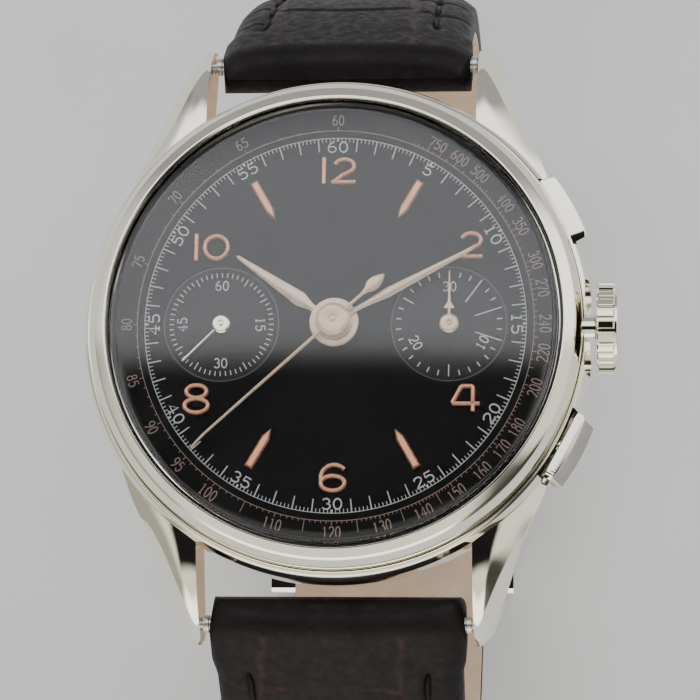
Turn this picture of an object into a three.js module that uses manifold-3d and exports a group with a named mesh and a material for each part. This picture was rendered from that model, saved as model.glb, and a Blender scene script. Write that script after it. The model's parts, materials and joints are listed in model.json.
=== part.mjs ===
// Two-register chronograph wristwatch on a buckled leather strap.
// Millimetres, +Z is the dial's normal, +Y points to 12 o'clock and +X to the crown at 3 o'clock.
// The origin lies on the supporting surface, straight below the axis of the hands.
import * as THREE from "three";
import { mergeVertices } from "three/addons/utils/BufferGeometryUtils.js";
import Module from "manifold-3d";

const wasm = await Module();
wasm.setup();

// ---------- driving dimensions ----------
const LIFT = 47.0; // height of the case back above the supporting surface
const CASE_R = 18.5; // widest radius of the middle case
const CAVITY_R = 15.5; // inside of the middle case, around the movement
const BEZEL_R = 17.55;
const BEZEL_BORE = 16.2;
const CRYSTAL_R = 16.1;
const DIAL_R = 15.8;
const DIAL_TOP = 8.0; // heights of this kind are counted from the case back's outer face
const REGISTER_X = 8.15; // distance of the small registers from the centre
const LUG_INNER = 9.9; // half of the gap between a pair of lugs
const LUG_TIP_Y = 22.3;
const BAR_Y = 20.9; // spring bars
const BAR_Z = 2.2;
const STEM_Z = 6.5;
const PUSH_Z = 6.2;
const PUSH_ANGLE = THREE.MathUtils.degToRad(28);
const PLATE_R = 15.2;
const ROUND = 36; // sides of the large round pieces
const STRAP_TOP_HALF = 9.3; // half width at the lugs
const STRAP_END_HALF = 8.0; // half width at the buckle
const BUCKLE_BAR = { y: -4.5, z: 4.6, r: 0.6 };
const HAND_ANGLES = { hour: 304.5, minute: 61.8, sweep: 227.7, seconds: 225, recorder: 0 };

// Centres of the wheels, from the hands' axis, and the pitch radii and teeth of the going train.
const AT = {
  centre: [0, 0],
  fourth: [-REGISTER_X, 0],
  recorder: [REGISTER_X, 0],
  third: [-4.556, 2.708],
  escape: [-9.8, -3.5],
  pallet: [-7.6, -5.4],
  balance: [-3.6, -8.9],
  barrel: [4.19, 5.98],
  minuteWork: [1.8, -3.118],
  crownWheel: [11.3, 2.7],
  operating: [11.3, 0.8],
  hammer: [11.3, -1.3],
};

// ---------- materials ----------
const paint = (color, roughness, metalness) => new THREE.MeshStandardMaterial({ color, roughness, metalness });
const STEEL = paint(0xc9c6bd, 0.18, 1.0);
const SATIN = paint(0xb4b4b0, 0.4, 1.0);
const BRASS = paint(0xc9a55a, 0.35, 1.0);
const ROSE = paint(0xd9a98b, 0.25, 1.0);
const BLACK = paint(0x0c0c0d, 0.12, 0.0);
const LEATHER = paint(0x1f1410, 0.55, 0.0);
const BLUED = paint(0x2b3a66, 0.3, 1.0);
const PALE_GOLD = paint(0xe9c9b0, 0.2, 1.0);
const ACRYLIC = new THREE.MeshStandardMaterial({ color: 0xf4f6f6, roughness: 0.05, transparent: true, opacity: 0.3 });

const watch = new THREE.Group(); // the watch head, stacked upwards from the case back
const group = new THREE.Group();
watch.position.z = LIFT;
group.add(watch);

function add(parent, name, geometry, material) {
  const mesh = new THREE.Mesh(geometry, material);
  mesh.name = name;
  parent.add(mesh);
  return mesh;
}

// ---------- solid helpers ----------
function toSolid(geometry) {
  const bare = geometry.clone();
  bare.deleteAttribute("normal");
  bare.deleteAttribute("uv");
  const merged = mergeVertices(bare, 1e-4);
  const mesh = new wasm.Mesh({
    numProp: 3,
    vertProperties: new Float32Array(merged.attributes.position.array),
    triVerts: new Uint32Array(merged.index.array),
  });
  return new wasm.Manifold(mesh);
}

function toGeometry(solid) {
  const mesh = solid.getMesh();
  const geometry = new THREE.BufferGeometry();
  geometry.setAttribute("position", new THREE.BufferAttribute(new Float32Array(mesh.vertProperties), 3));
  geometry.setIndex(new THREE.BufferAttribute(new Uint32Array(mesh.triVerts), 1));
  geometry.computeVertexNormals();
  return geometry;
}

const join = (...parts) => parts.map(toSolid).reduce((sum, part) => sum.add(part));

function carve(base, ...cutters) {
  let solid = base.isBufferGeometry ? toSolid(base) : base;
  for (const cutter of cutters) solid = solid.subtract(toSolid(cutter));
  return toGeometry(solid);
}

function disc(radius, low, high, at = AT.centre, sides = 24) {
  const geometry = new THREE.CylinderGeometry(radius, radius, high - low, sides);
  geometry.rotateX(Math.PI / 2);
  return geometry.translate(at[0], at[1], (low + high) / 2);
}

// A round bar along +X, between two x values.
function barX(radius, from, to, y, z, sides = 16) {
  const geometry = new THREE.CylinderGeometry(radius, radius, to - from, sides);
  geometry.rotateZ(Math.PI / 2);
  return geometry.translate((from + to) / 2, y, z);
}

function block(x, y, z) {
  const geometry = new THREE.BoxGeometry(x[1] - x[0], y[1] - y[0], z[1] - z[0]);
  return geometry.translate((x[0] + x[1]) / 2, (y[0] + y[1]) / 2, (z[0] + z[1]) / 2);
}

// Turns a closed [radius, height] profile about Z.
function turned(profile, at = AT.centre, sides = 24) {
  const geometry = new THREE.LatheGeometry(profile.map(([r, z]) => new THREE.Vector2(r, z)), sides);
  geometry.rotateX(Math.PI / 2);
  return geometry.translate(at[0], at[1], 0);
}

function outline(points) {
  return new THREE.Shape(points.map(([x, y]) => new THREE.Vector2(x, y)));
}

function plate(shape, low, high, curveSegments = 6) {
  const geometry = new THREE.ExtrudeGeometry(shape, { depth: high - low, bevelEnabled: false, curveSegments });
  return geometry.translate(0, 0, low);
}

// Extrudes an outline drawn in the Y-Z plane along X, between two x values.
function slabX(shape, from, to) {
  const geometry = new THREE.ExtrudeGeometry(shape, { depth: to - from, bevelEnabled: false });
  geometry.applyMatrix4(new THREE.Matrix4().set(0, 0, 1, from, 1, 0, 0, 0, 0, 1, 0, 0, 0, 0, 0, 1));
  return geometry;
}

// ---------- gears ----------
const ADDENDUM = 0.5; // tooth heights, in modules
const DEDENDUM = 0.9;
const towards = (from, to) => Math.atan2(to[1] - from[1], to[0] - from[0]);

function gear(at, teeth, pitch, low, high, phase) {
  const module = (2 * pitch) / teeth;
  const points = [];
  for (let i = 0; i < teeth * 2; i += 1) {
    const radius = i % 2 === 0 ? pitch + ADDENDUM * module : pitch - DEDENDUM * module;
    const angle = phase + (i * Math.PI) / teeth;
    points.push([at[0] + radius * Math.cos(angle), at[1] + radius * Math.sin(angle)]);
  }
  return plate(outline(points), low, high);
}

// A wheel has a tip on the line of centres, and the pinion it drives has a gap there.
const tipPhase = (from, to) => towards(from, to);
const gapPhase = (from, to, teeth) => towards(from, to) + Math.PI / teeth;

// A ring-shaped opening between spokes, cut right through a wheel.
function spokeGap(at, inner, outer, index, spokes, spokeWidth, low, high) {
  const shape = new THREE.Shape();
  const start = (index * 2 * Math.PI) / spokes;
  const end = start + (2 * Math.PI) / spokes;
  const shrink = (radius) => spokeWidth / 2 / radius;
  shape.absarc(0, 0, outer, start + shrink(outer), end - shrink(outer), false);
  shape.absarc(0, 0, inner, end - shrink(inner), start + shrink(inner), true);
  return plate(shape, low - 1, high + 1, 3).translate(at[0], at[1], 0);
}

function spokes(at, inner, outer, count, width, low, high) {
  const gaps = [];
  for (let i = 0; i < count; i += 1) gaps.push(spokeGap(at, inner, outer, i, count, width, low, high));
  return gaps;
}

// ---------- case ----------
function middleCase() {
  const body = turned([
    [0, 1.25], [17.2, 1.25], [17.8, 2.2], [18.3, 4.2], [CASE_R, 6.3], [18.35, 7.1], [17.6, 7.9], [0, 7.9],
  ], AT.centre, ROUND);
  let solid = toSolid(body);
  const lugTop = [[14.0, 7.3], [16.5, 6.9], [18.6, 5.9], [20.3, 4.6], [21.6, 3.1], [LUG_TIP_Y, 1.8]];
  const lugUnder = [[22.1, 0.2], [21.0, -0.3], [18.5, 0.5], [16.8, 1.4], [14.0, 1.6]];
  const side = outline([...lugTop, ...lugUnder]);
  const plan = outline([
    [LUG_INNER, 13.0], [14.9, 9.5], [15.35, 10.4], [14.6, 12.3], [13.4, 15.1], [12.4, 17.9], [11.65, 20.3],
    [11.0, 21.9], [10.6, 22.4], [10.2, 22.4], [LUG_INNER, 22.0],
  ]);
  const lug = toSolid(slabX(side, 9, 17)).intersect(toSolid(plate(plan, -1, 9)));
  const pinHole = toSolid(barX(0.5, LUG_INNER - 1, 10.9, BAR_Y, BAR_Z, 10));
  const drilled = lug.subtract(pinHole);
  for (const mirrorX of [0, 1]) {
    for (const mirrorY of [0, 1]) {
      let copy = drilled;
      if (mirrorX) copy = copy.mirror([1, 0, 0]);
      if (mirrorY) copy = copy.mirror([0, 1, 0]);
      solid = solid.add(copy);
    }
  }
  const cutters = [disc(CAVITY_R, 0, 9, AT.centre, ROUND), disc(DIAL_R + 0.2, 7.45, 9, AT.centre, ROUND)];
  cutters.push(barX(3.45, 18.0, 20, 0, STEM_Z, 24), barX(1.06, 14, 19, 0, STEM_Z, 16));
  for (const sign of [1, -1]) {
    const pocket = block([16.9, 20], [-2.75, 2.75], [PUSH_Z - 1.25, PUSH_Z + 1.25]);
    cutters.push(pocket.rotateZ(sign * PUSH_ANGLE));
    cutters.push(barX(0.7, 14, 18, 0, PUSH_Z, 10).rotateZ(sign * PUSH_ANGLE));
  }
  return carve(solid, ...cutters);
}

function caseBack() {
  return turned([
    [0, 0], [14.6, 0], [16.5, 0.4], [17.0, 0.85], [17.0, 1.15], [15.3, 1.15], [15.3, 1.8], [14.9, 1.8],
    [14.9, 1.2], [0, 1.2],
  ], AT.centre, 32);
}

function bezel() {
  return turned([
    [BEZEL_BORE, 8.0], [BEZEL_R, 8.0], [BEZEL_R, 8.2], [17.2, 8.9], [16.65, 9.6], [16.4, 9.85],
    [BEZEL_BORE, 9.85], [BEZEL_BORE, 8.0],
  ], AT.centre, ROUND);
}

// A domed shell: an upright wall, then two spherical caps with the acrylic between them.
function crystal() {
  const cap = (radius, shoulder, apex, fraction) => {
    const rise = apex - shoulder;
    const sphere = (radius * radius + rise * rise) / (2 * rise);
    const r = radius * fraction;
    return [r, apex - sphere + Math.sqrt(sphere * sphere - r * r)];
  };
  const outer = [1, 0.85, 0.5, 0].map((f) => cap(CRYSTAL_R, 9.7, 12.0, f));
  const inner = [0, 0.5, 0.85, 1].map((f) => cap(CRYSTAL_R - 0.45, 9.3, 11.1, f));
  return turned([...outer, ...inner, [CRYSTAL_R - 0.45, 8.15], [CRYSTAL_R, 8.15], outer[0]], AT.centre, ROUND);
}

// ---------- dial and applied markers ----------
function dial() {
  const face = disc(DIAL_R, 7.6, DIAL_TOP, AT.centre, ROUND);
  const cutters = [disc(1.3, 7, 9, AT.centre, 16)];
  for (const at of [AT.fourth, AT.recorder]) {
    cutters.push(disc(4.3, DIAL_TOP - 0.1, 9, at, 20), disc(0.4, 7, 9, at, 8));
  }
  return carve(face, ...cutters);
}

const MARKER = { low: DIAL_TOP + 0.02, high: DIAL_TOP + 0.37 };

function ringShape(width, height, stroke) {
  const shape = new THREE.Shape().absellipse(0, 0, width / 2, height / 2, 0, 2 * Math.PI);
  shape.holes.push(new THREE.Path().absellipse(0, 0, width / 2 - stroke, height / 2 - stroke, 0, 2 * Math.PI, true));
  return shape;
}

const ring = (width, height, stroke) => plate(ringShape(width, height, stroke), MARKER.low, MARKER.high, 6);
const flat = (points) => plate(outline(points), MARKER.low, MARKER.high);

// Applied figures, each drawn about its own centre.
const FIGURES = {
  one: () => flat([[-0.18, -0.98], [0.18, -0.98], [0.18, 0.98], [-0.18, 0.98]]),
  two: () => flat([
    [-0.97, -1], [0.97, -1], [0.97, -0.7], [-0.3, -0.7], [0.35, -0.1], [0.75, 0.35], [0.6, 0.8], [0.1, 1],
    [-0.5, 0.9], [-0.82, 0.5], [-0.5, 0.42], [-0.3, 0.64], [0.1, 0.7], [0.36, 0.56], [0.4, 0.36], [0.1, 0.05],
    [-0.97, -0.78],
  ]),
  four: () => carve(
    flat([
      [0.3, -1], [0.6, -1], [0.6, -0.6], [1.1, -0.6], [1.1, -0.3], [0.6, -0.3], [0.6, 1], [-0.35, 1],
      [-1.1, -0.3], [-1.1, -0.6], [0.3, -0.6],
    ]),
    plate(outline([[-0.68, -0.3], [0.3, -0.3], [0.3, 0.7], [-0.16, 0.7]]), MARKER.low - 1, MARKER.high + 1),
  ),
  six: () => toGeometry(join(
    ring(2.0, 1.34, 0.3).translate(0, -0.38, 0),
    flat([
      [-1, -0.38], [-0.7, -0.38], [-0.66, 0.1], [-0.3, 0.55], [0.3, 0.78], [0.8, 0.68], [0.88, 0.95], [0.3, 1.07],
      [-0.45, 0.85], [-0.9, 0.4],
    ]),
  )),
  eight: () => toGeometry(join(
    ring(2.0, 1.33, 0.3).translate(0, -0.48, 0),
    ring(1.8, 1.3, 0.3).translate(0, 0.5, 0),
  )),
  zero: () => ring(2.0, 2.0, 0.3),
};

const NUMERALS = [
  ["numeral_12_1", "one", -0.95, 11.2],
  ["numeral_12_2", "two", 0.5, 11.2],
  ["numeral_2", "two", 9.67, 5.7],
  ["numeral_4", "four", 9.4, -5.4],
  ["numeral_6", "six", 0.05, -11.15],
  ["numeral_8", "eight", -9.8, -5.45],
  ["numeral_10_1", "one", -10.05, 5.6],
  ["numeral_10_0", "zero", -8.6, 5.6],
];

function addMarkers() {
  for (const [name, figure, x, y] of NUMERALS) {
    add(watch, name, FIGURES[figure](), ROSE).position.set(x, y, 0);
  }
  for (const hour of [1, 5, 7, 11]) {
    const baton = flat([[-0.3, 12.0], [-0.3, 9.5], [0, 8.8], [0.3, 9.5], [0.3, 12.0]]);
    add(watch, `baton_${hour}`, baton, ROSE).rotation.z = -THREE.MathUtils.degToRad(hour * 30);
  }
}

// ---------- hands ----------
const clockwise = (degrees) => -THREE.MathUtils.degToRad(degrees);

function handBlade(points, low, high, hub) {
  const mirrored = points.slice().reverse().map(([x, y]) => [-x, y]).filter(([x]) => x !== 0);
  const blade = plate(outline([...points, ...mirrored]), low, high);
  const solid = join(blade, disc(hub.r, hub.low, hub.high, AT.centre, 20));
  return hub.bore ? carve(solid, disc(hub.bore, low - 2, high + 2, AT.centre, 16)) : toGeometry(solid);
}

function addHands() {
  const hour = handBlade(
    [[0.22, 0], [0.22, 1.9], [0.72, 3.0], [0.12, 8.4], [0, 8.6]], 8.45, 8.6,
    { r: 1.77, low: 8.42, high: 8.75, bore: 0.9 },
  );
  const minute = handBlade(
    [[0.2, 0], [0.2, 2.4], [0.6, 4.4], [0.12, 11.1], [0, 11.3]], 8.95, 9.1,
    { r: 1.3, low: 8.9, high: 9.2, bore: 0.35 },
  );
  const sweepArm = handBlade(
    [[0.12, -3.2], [0.5, -3.9], [0.3, -4.7], [0, -4.9]].reverse().concat([[0.14, 0], [0.09, 12.4], [0, 12.6]]),
    9.4, 9.52, { r: 1.2, low: 9.35, high: 10.0 },
  );
  const tip = block([-0.09, 0.09], [0, 1.25], [0, 0.12]).rotateX(-0.52).translate(0, 12.4, 9.4);
  const sweep = toGeometry(join(sweepArm, tip));
  const register = (points) => handBlade(points, 8.08, 8.2, { r: 0.65, low: 8.06, high: 8.35 });
  const seconds = register([[0.14, -1.2], [0.14, 0], [0.08, 3.5], [0, 3.83]]);
  const recorder = register([[0.1, 0], [0.1, 1.07], [0.39, 1.1], [0.1, 1.6], [0.06, 3.7], [0, 3.87]]);
  add(watch, "hour_hand", hour, PALE_GOLD).rotation.z = clockwise(HAND_ANGLES.hour);
  add(watch, "minute_hand", minute, PALE_GOLD).rotation.z = clockwise(HAND_ANGLES.minute);
  add(watch, "sweep_hand", sweep, PALE_GOLD).rotation.z = clockwise(HAND_ANGLES.sweep);
  for (const [name, blade, at, angle, metal] of [
    ["seconds_hand", seconds, AT.fourth, HAND_ANGLES.seconds, STEEL],
    ["recorder_hand", recorder, AT.recorder, HAND_ANGLES.recorder, PALE_GOLD],
  ]) {
    const hand = add(watch, name, blade, metal);
    hand.position.set(at[0], at[1], 0);
    hand.rotation.z = clockwise(angle);
  }
}

// ---------- plates and bridges ----------
function mainPlate() {
  const slot = block([9.4, 16], [-1.15, 1.15], [5.1, 7]);
  const cutters = [slot, disc(0.65, 5, 7), disc(0.35, 5, 7, AT.fourth, 10), disc(0.35, 5, 7, AT.recorder, 10)];
  cutters.push(disc(3.25, 5, 5.65, AT.crownWheel, 24));
  for (const sign of [1, -1]) {
    cutters.push(block([12.3, 16], [-1.7, 1.7], [5, 7]).rotateZ(sign * PUSH_ANGLE));
  }
  return carve(disc(PLATE_R, 5.2, 6.8, AT.centre, ROUND), ...cutters);
}

function trainBridge() {
  const shape = outline([
    [-13.2, -1.2], [-13.4, 2.6], [-11.5, 8.0], [-6.5, 12.4], [0, 14.3], [6.5, 12.6], [10.4, 9.2], [9.6, 5.9],
    [7.9, 3.2], [7.0, -1.6], [2.0, -2.6], [-6.0, -2.2], [-8.6, -4.9], [-11.2, -4.9],
  ]);
  const holes = [AT.centre, AT.fourth].map((at) => disc(0.4, 2, 4, at, 10));
  return carve(plate(shape, 2.65, 3.2), ...holes, disc(1.05, 2, 4, AT.barrel, 16));
}

function balanceCock() {
  const arm = plate(outline([[-5.4, -8.2], [-2.0, -7.6], [1.8, -8.6], [4.6, -8.4], [5.0, -12.6], [1.6, -13.4],
    [-1.4, -10.2], [-4.6, -10.5]]), 2.65, 3.15);
  const foot = plate(outline([[1.9, -8.7], [4.5, -8.5], [4.9, -12.5], [1.9, -13.1]]), 3.0, 5.1);
  return toGeometry(join(arm, foot));
}

function chronographBridge() {
  const arm = plate(outline([[-1.2, -1.0], [-1.2, 1.0], [4.0, 1.2], [9.3, 1.0], [9.3, -1.0], [5.4, -1.4],
    [4.6, -7.4], [2.4, -7.4], [2.6, -1.4]]), 1.32, 1.72);
  const foot = disc(0.9, 1.6, 2.5, [3.5, -6.3], 12);
  return toGeometry(join(arm, foot));
}

// A flat spiral ribbon, from the inner to the outer radius.
function spiral(at, inner, outer, turns, ribbon, low, high) {
  const steps = turns * 10;
  const edge = (offset) => {
    const points = [];
    for (let i = 0; i <= steps; i += 1) {
      const radius = inner + ((outer - inner) * i) / steps + offset;
      const angle = (i * 2 * Math.PI) / 10;
      points.push([at[0] + radius * Math.cos(angle), at[1] + radius * Math.sin(angle)]);
    }
    return points;
  };
  return plate(outline([...edge(-ribbon / 2), ...edge(ribbon / 2).reverse()]), low, high);
}

// ---------- wheels ----------
function addTrain() {
  const { centre, third, fourth, escape, barrel, balance, pallet } = AT;
  const drum = gear(barrel, 56, 6.389, 4.7, 5.1, tipPhase(barrel, centre));
  const wall = join(drum, disc(5.9, 4.05, 4.9, barrel, 24));
  add(watch, "barrel", carve(wall, disc(5.55, 3.5, 4.85, barrel, 24)), BRASS);
  add(watch, "mainspring", spiral(barrel, 1.4, 5.2, 5, 0.25, 4.1, 4.75), SATIN);

  const centreWheel = carve(
    join(
      gear(centre, 48, 4.711, 3.4, 3.52, tipPhase(centre, third)),
      gear(centre, 8, 0.913, 4.6, 5.1, gapPhase(centre, barrel, 8)),
      disc(0.52, 3.3, 6.75, centre, 16),
    ),
    disc(0.28, 3, 7, centre, 12),
    ...spokes(centre, 1.1, 4.1, 4, 0.5, 3.4, 3.52),
  );
  add(watch, "center_wheel", centreWheel, BRASS);

  const arbor = (at, radius, low, high) => disc(radius, low, high, at, 10);
  const thirdWheel = carve(
    join(
      gear(third, 45, 3.971, 3.75, 3.87, tipPhase(third, fourth)),
      gear(third, 6, 0.589, 3.34, 3.6, gapPhase(third, centre, 6)),
      arbor(third, 0.25, 3.3, 5.1),
    ),
    ...spokes(third, 0.9, 3.4, 4, 0.4, 3.75, 3.87),
  );
  add(watch, "third_wheel", thirdWheel, BRASS);

  const fourthWheel = carve(
    join(
      gear(fourth, 60, 3.518, 4.6, 4.72, tipPhase(fourth, escape)),
      gear(fourth, 6, 0.529, 3.7, 3.95, gapPhase(fourth, third, 6)),
      arbor(fourth, 0.2, 2.4, 8.04),
    ),
    ...spokes(fourth, 0.8, 3.0, 4, 0.35, 4.6, 4.72),
  );
  add(watch, "fourth_wheel", fourthWheel, BRASS);

  const escapeTeeth = [];
  for (let i = 0; i < 15; i += 1) {
    const angle = (i * 2 * Math.PI) / 15;
    const at = (radius, turn) => [radius * Math.cos(angle + turn), radius * Math.sin(angle + turn)];
    escapeTeeth.push(at(1.75, -0.06), at(2.15, 0.1), at(2.1, 0.16), at(1.75, 0.06));
  }
  const escapeWheel = join(
    plate(outline(escapeTeeth), 4.2, 4.35).translate(escape[0], escape[1], 0),
    gear(escape, 6, 0.352, 4.45, 4.85, gapPhase(escape, fourth, 6)),
    arbor(escape, 0.18, 3.3, 5.1),
  );
  add(watch, "escape_wheel", toGeometry(escapeWheel), SATIN);

  // Anchor with two pallet stones; its lever reaches towards the balance staff.
  const toEscape = towards(pallet, escape);
  const toBalance = towards(pallet, balance);
  const anchor = plate(outline([[0.25, -1.5], [0.62, -1.45], [0.4, 0], [0.62, 1.45], [0.25, 1.5], [-0.3, 0]]),
    4.18, 4.38).rotateZ(toEscape);
  const lever = plate(outline([[-0.2, -0.22], [3.2, -0.13], [3.9, -0.45], [4.0, -0.3], [3.55, 0], [4.0, 0.3],
    [3.9, 0.45], [3.2, 0.13], [-0.2, 0.22]]), 4.18, 4.38).rotateZ(toBalance);
  const fork = join(anchor, lever, disc(0.3, 3.3, 5.1, AT.centre, 10));
  add(watch, "pallet_fork", toGeometry(fork), SATIN).position.set(pallet[0], pallet[1], 0);

  const rim = carve(
    join(disc(4.4, 3.68, 4.0, balance, 24), disc(0.2, 3.2, 5.1, balance, 10), disc(0.6, 4.1, 4.4, balance, 12),
      disc(0.35, 3.9, 4.2, balance, 12)),
    ...spokes(balance, 0.75, 3.9, 3, 0.5, 3.68, 4.0),
  );
  add(watch, "balance_wheel", rim, BRASS);
  add(watch, "hairspring", spiral(balance, 0.45, 2.4, 5, 0.09, 3.3, 3.5), BLUED);
}

function addMotionWork() {
  const { centre, minuteWork } = AT;
  const cannon = carve(
    join(gear(centre, 12, 0.9, 6.9, 7.18, tipPhase(centre, minuteWork)), disc(0.8, 6.85, 8.85, centre, 16)),
    disc(0.6, 6, 7.4, centre, 12),
    disc(0.3, 6, 9, centre, 12),
  );
  add(watch, "cannon_pinion", cannon, SATIN);
  const minuteWheel = join(
    gear(minuteWork, 36, 2.7, 6.95, 7.12, gapPhase(minuteWork, centre, 36)),
    gear(minuteWork, 10, 0.72, 7.1, 7.42, tipPhase(minuteWork, centre)),
  );
  add(watch, "minute_wheel", toGeometry(minuteWheel), BRASS);
  const hourWheel = carve(
    join(gear(centre, 40, 2.88, 7.24, 7.38, gapPhase(centre, minuteWork, 40)), disc(1.15, 7.24, 8.4, centre, 20)),
    disc(0.9, 6, 9, centre, 16),
  );
  add(watch, "hour_wheel", hourWheel, BRASS);
}

// ---------- chronograph works ----------
function heart(at, size, low, high) {
  const points = [];
  for (let i = 0; i < 14; i += 1) {
    const angle = (i * 2 * Math.PI) / 14;
    const radius = size * (0.45 + 0.55 * Math.abs(1 - angle / Math.PI));
    points.push([at[0] + radius * Math.cos(angle), at[1] + radius * Math.sin(angle)]);
  }
  return plate(outline(points), low, high);
}

function addChronograph() {
  const { centre, recorder, operating, hammer } = AT;
  const runner = carve(
    join(gear(centre, 48, 3.0, 1.9, 2.1, 0), heart(centre, 0.8, 2.05, 2.5), disc(0.18, 1.8, 9.3, centre, 10)),
    ...spokes(centre, 0.9, 2.6, 4, 0.35, 1.9, 2.1),
  );
  add(watch, "chrono_runner", runner, BRASS);
  const counter = join(
    gear(recorder, 30, 2.3, 1.9, 2.1, 0),
    heart(recorder, 0.65, 2.05, 2.5),
    disc(0.18, 1.8, 8.04, recorder, 10),
  );
  add(watch, "recorder_wheel", toGeometry(counter), BRASS);

  // Two levers turn inwards when their upright ears are pushed at the rim.
  const ear = (sign, low, high) => block([14.1, 14.55], [-0.8, 0.8], [low, high]).rotateZ(sign * PUSH_ANGLE);
  const operatingArm = plate(outline([[10.9, 0.3], [11.8, 0.4], [12.1, 3.5], [12.75, 5.9], [13.3, 6.1],
    [12.5, 7.6], [11.7, 7.2], [11.6, 4.0], [10.8, 1.3]]), 1.9, 2.15);
  const operatingLever = join(operatingArm, disc(0.6, 1.85, 2.2, operating, 12), ear(1, 1.95, PUSH_Z + 0.6));
  add(watch, "operating_lever", toGeometry(operatingLever), SATIN);
  const hammerTail = plate(outline([[11.7, -0.9], [12.1, -3.5], [12.75, -5.9], [13.3, -6.1], [12.5, -7.6],
    [11.7, -7.2], [11.6, -4.0], [10.8, -1.4]]), 2.25, 2.5);
  const hammerArm = plate(outline([[11.3, -0.8], [8.7, -1.9], [8.6, -1.4], [7.7, -1.4], [7.4, -2.9], [1.4, -3.35],
    [-0.8, -3.25], [-0.8, -3.75], [1.4, -4.05], [7.0, -3.8], [9.6, -3.2], [11.3, -1.9]]), 2.25, 2.5);
  const resetHammer = join(hammerTail, hammerArm, disc(0.6, 2.2, 2.55, hammer, 12), ear(-1, 2.3, PUSH_Z + 0.6));
  add(watch, "reset_hammer", toGeometry(resetHammer), SATIN);
}

// ---------- winding and controls ----------
function addWinding() {
  const { barrel, crownWheel } = AT;
  const ratchet = join(
    gear(barrel, 36, 4.698, 2.3, 2.55, tipPhase(barrel, crownWheel)),
    disc(0.95, 2.25, 3.9, barrel, 16),
  );
  add(watch, "ratchet_wheel", toGeometry(ratchet), SATIN);
  const crown = join(
    gear(crownWheel, 24, 3.132, 2.3, 2.55, gapPhase(crownWheel, barrel, 24)),
    disc(0.8, 2.25, 5.4, crownWheel, 16),
    gear(crownWheel, 24, 2.95, 5.1, 5.4, 0),
  );
  add(watch, "crown_wheel", toGeometry(crown), SATIN);

  const onStem = (geometry) => geometry.rotateY(Math.PI / 2).translate(0, 0, STEM_Z);
  const toothed = (teeth, pitch, from, to) => onStem(gear(AT.centre, teeth, pitch, from, to, 0));
  const bore = (radius) => barX(radius, 9, 17, 0, STEM_Z, 12);
  add(watch, "winding_pinion", carve(toothed(12, 0.85, 12.9, 14.3), bore(0.52)), SATIN);
  add(watch, "sliding_pinion", carve(toothed(12, 0.8, 11.4, 12.8), bore(0.52)), SATIN);
  const stem = join(
    barX(0.42, 10.2, 18.7, 0, STEM_Z, 12),
    barX(0.55, 14.5, 18.7, 0, STEM_Z, 12),
  );
  add(watch, "winding_stem", toGeometry(stem), SATIN);
  add(watch, "crown_tube", carve(barX(0.98, 15.55, 18.65, 0, STEM_Z, 16),
    barX(0.65, 15, 19, 0, STEM_Z, 12)), STEEL);

  const knob = [];
  for (let i = 0; i < 48; i += 1) {
    const radius = i % 2 === 0 ? 3.29 : 3.08;
    knob.push([radius * Math.cos((i * Math.PI) / 24), radius * Math.sin((i * Math.PI) / 24)]);
  }
  const cap = turned([[0, 20.0], [3.1, 20.0], [3.05, 20.25], [2.4, 20.45], [0, 20.6]], AT.centre, 16);
  const crownSolid = join(onStem(plate(outline(knob), 18.8, 20.1)), onStem(cap));
  add(watch, "crown", toGeometry(crownSolid), STEEL);
}

// A rectangular cap with chamfered edges on a round stem, pressed along -X of its own turned group.
function pusher(face) {
  const cap = outline([[face - 1.6, -2.6], [face - 0.3, -2.6], [face, -2.3], [face, 2.3], [face - 0.3, 2.6],
    [face - 1.6, 2.6]]);
  return toGeometry(join(plate(cap, PUSH_Z - 1.1, PUSH_Z + 1.1), barX(0.55, 14.8, face - 1, 0, PUSH_Z, 10)));
}

function addPushers() {
  add(watch, "start_pusher", pusher(19.3), STEEL).rotation.z = PUSH_ANGLE;
  add(watch, "reset_pusher", pusher(19.85), STEEL).rotation.z = -PUSH_ANGLE;
}

// ---------- strap ----------
const BAR_HEIGHT = LIFT + BAR_Z;
const SHORT_HALF = [
  [BAR_Y, BAR_HEIGHT], [23.7, 45.6], [26.5, 41.0], [29.0, 35.0], [30.0, 27.0], [28.9, 18.8], [25.3, 11.8],
  [20.0, 7.1], [14.0, 4.85], [8.0, 4.6], [2.0, 4.6], [BUCKLE_BAR.y, BUCKLE_BAR.z],
];
const LONG_HALF = [
  [-BAR_Y, BAR_HEIGHT], [-24.8, 45.4], [-28.2, 40.6], [-30.2, 34.0], [-30.4, 26.0], [-28.6, 18.0],
  [-24.4, 11.2], [-18.4, 6.4], [-11.0, 3.5], [-5.0, 2.3], [1.0, 2.2], [8.0, 2.2], [14.0, 2.45], [17.6, 3.4],
  [20.6, 4.8],
];
const HOLE_PITCH = 6.0;

// Side outline of a strap half: offsets of the centre line, thick and padded near the case.
function strapHalf(points, endHalfThickness, samples) {
  const route = new THREE.CatmullRomCurve3(points.map(([y, z]) => new THREE.Vector3(0, y, z)), false, "centripetal");
  const length = route.getLength();
  const sideA = [];
  const sideB = [];
  for (let i = 0; i <= samples; i += 1) {
    const at = route.getPointAt(i / samples);
    const along = route.getTangentAt(i / samples);
    const thinning = THREE.MathUtils.smoothstep((i / samples) * length, 6, 48);
    const half = THREE.MathUtils.lerp(1.95, endHalfThickness, thinning);
    sideA.push([at.y - along.z * half, at.z + along.y * half]);
    sideB.push([at.y + along.z * half, at.z - along.y * half]);
  }
  const geometry = slabX(outline([...sideA, ...sideB.reverse()]), -1, 1);
  return { geometry, route, length };
}

// Half width of the strap at a height: it tapers evenly from the lugs down to the buckle.
const halfWidth = (z) => THREE.MathUtils.mapLinear(z, BAR_HEIGHT, 6, STRAP_TOP_HALF, STRAP_END_HALF);

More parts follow.
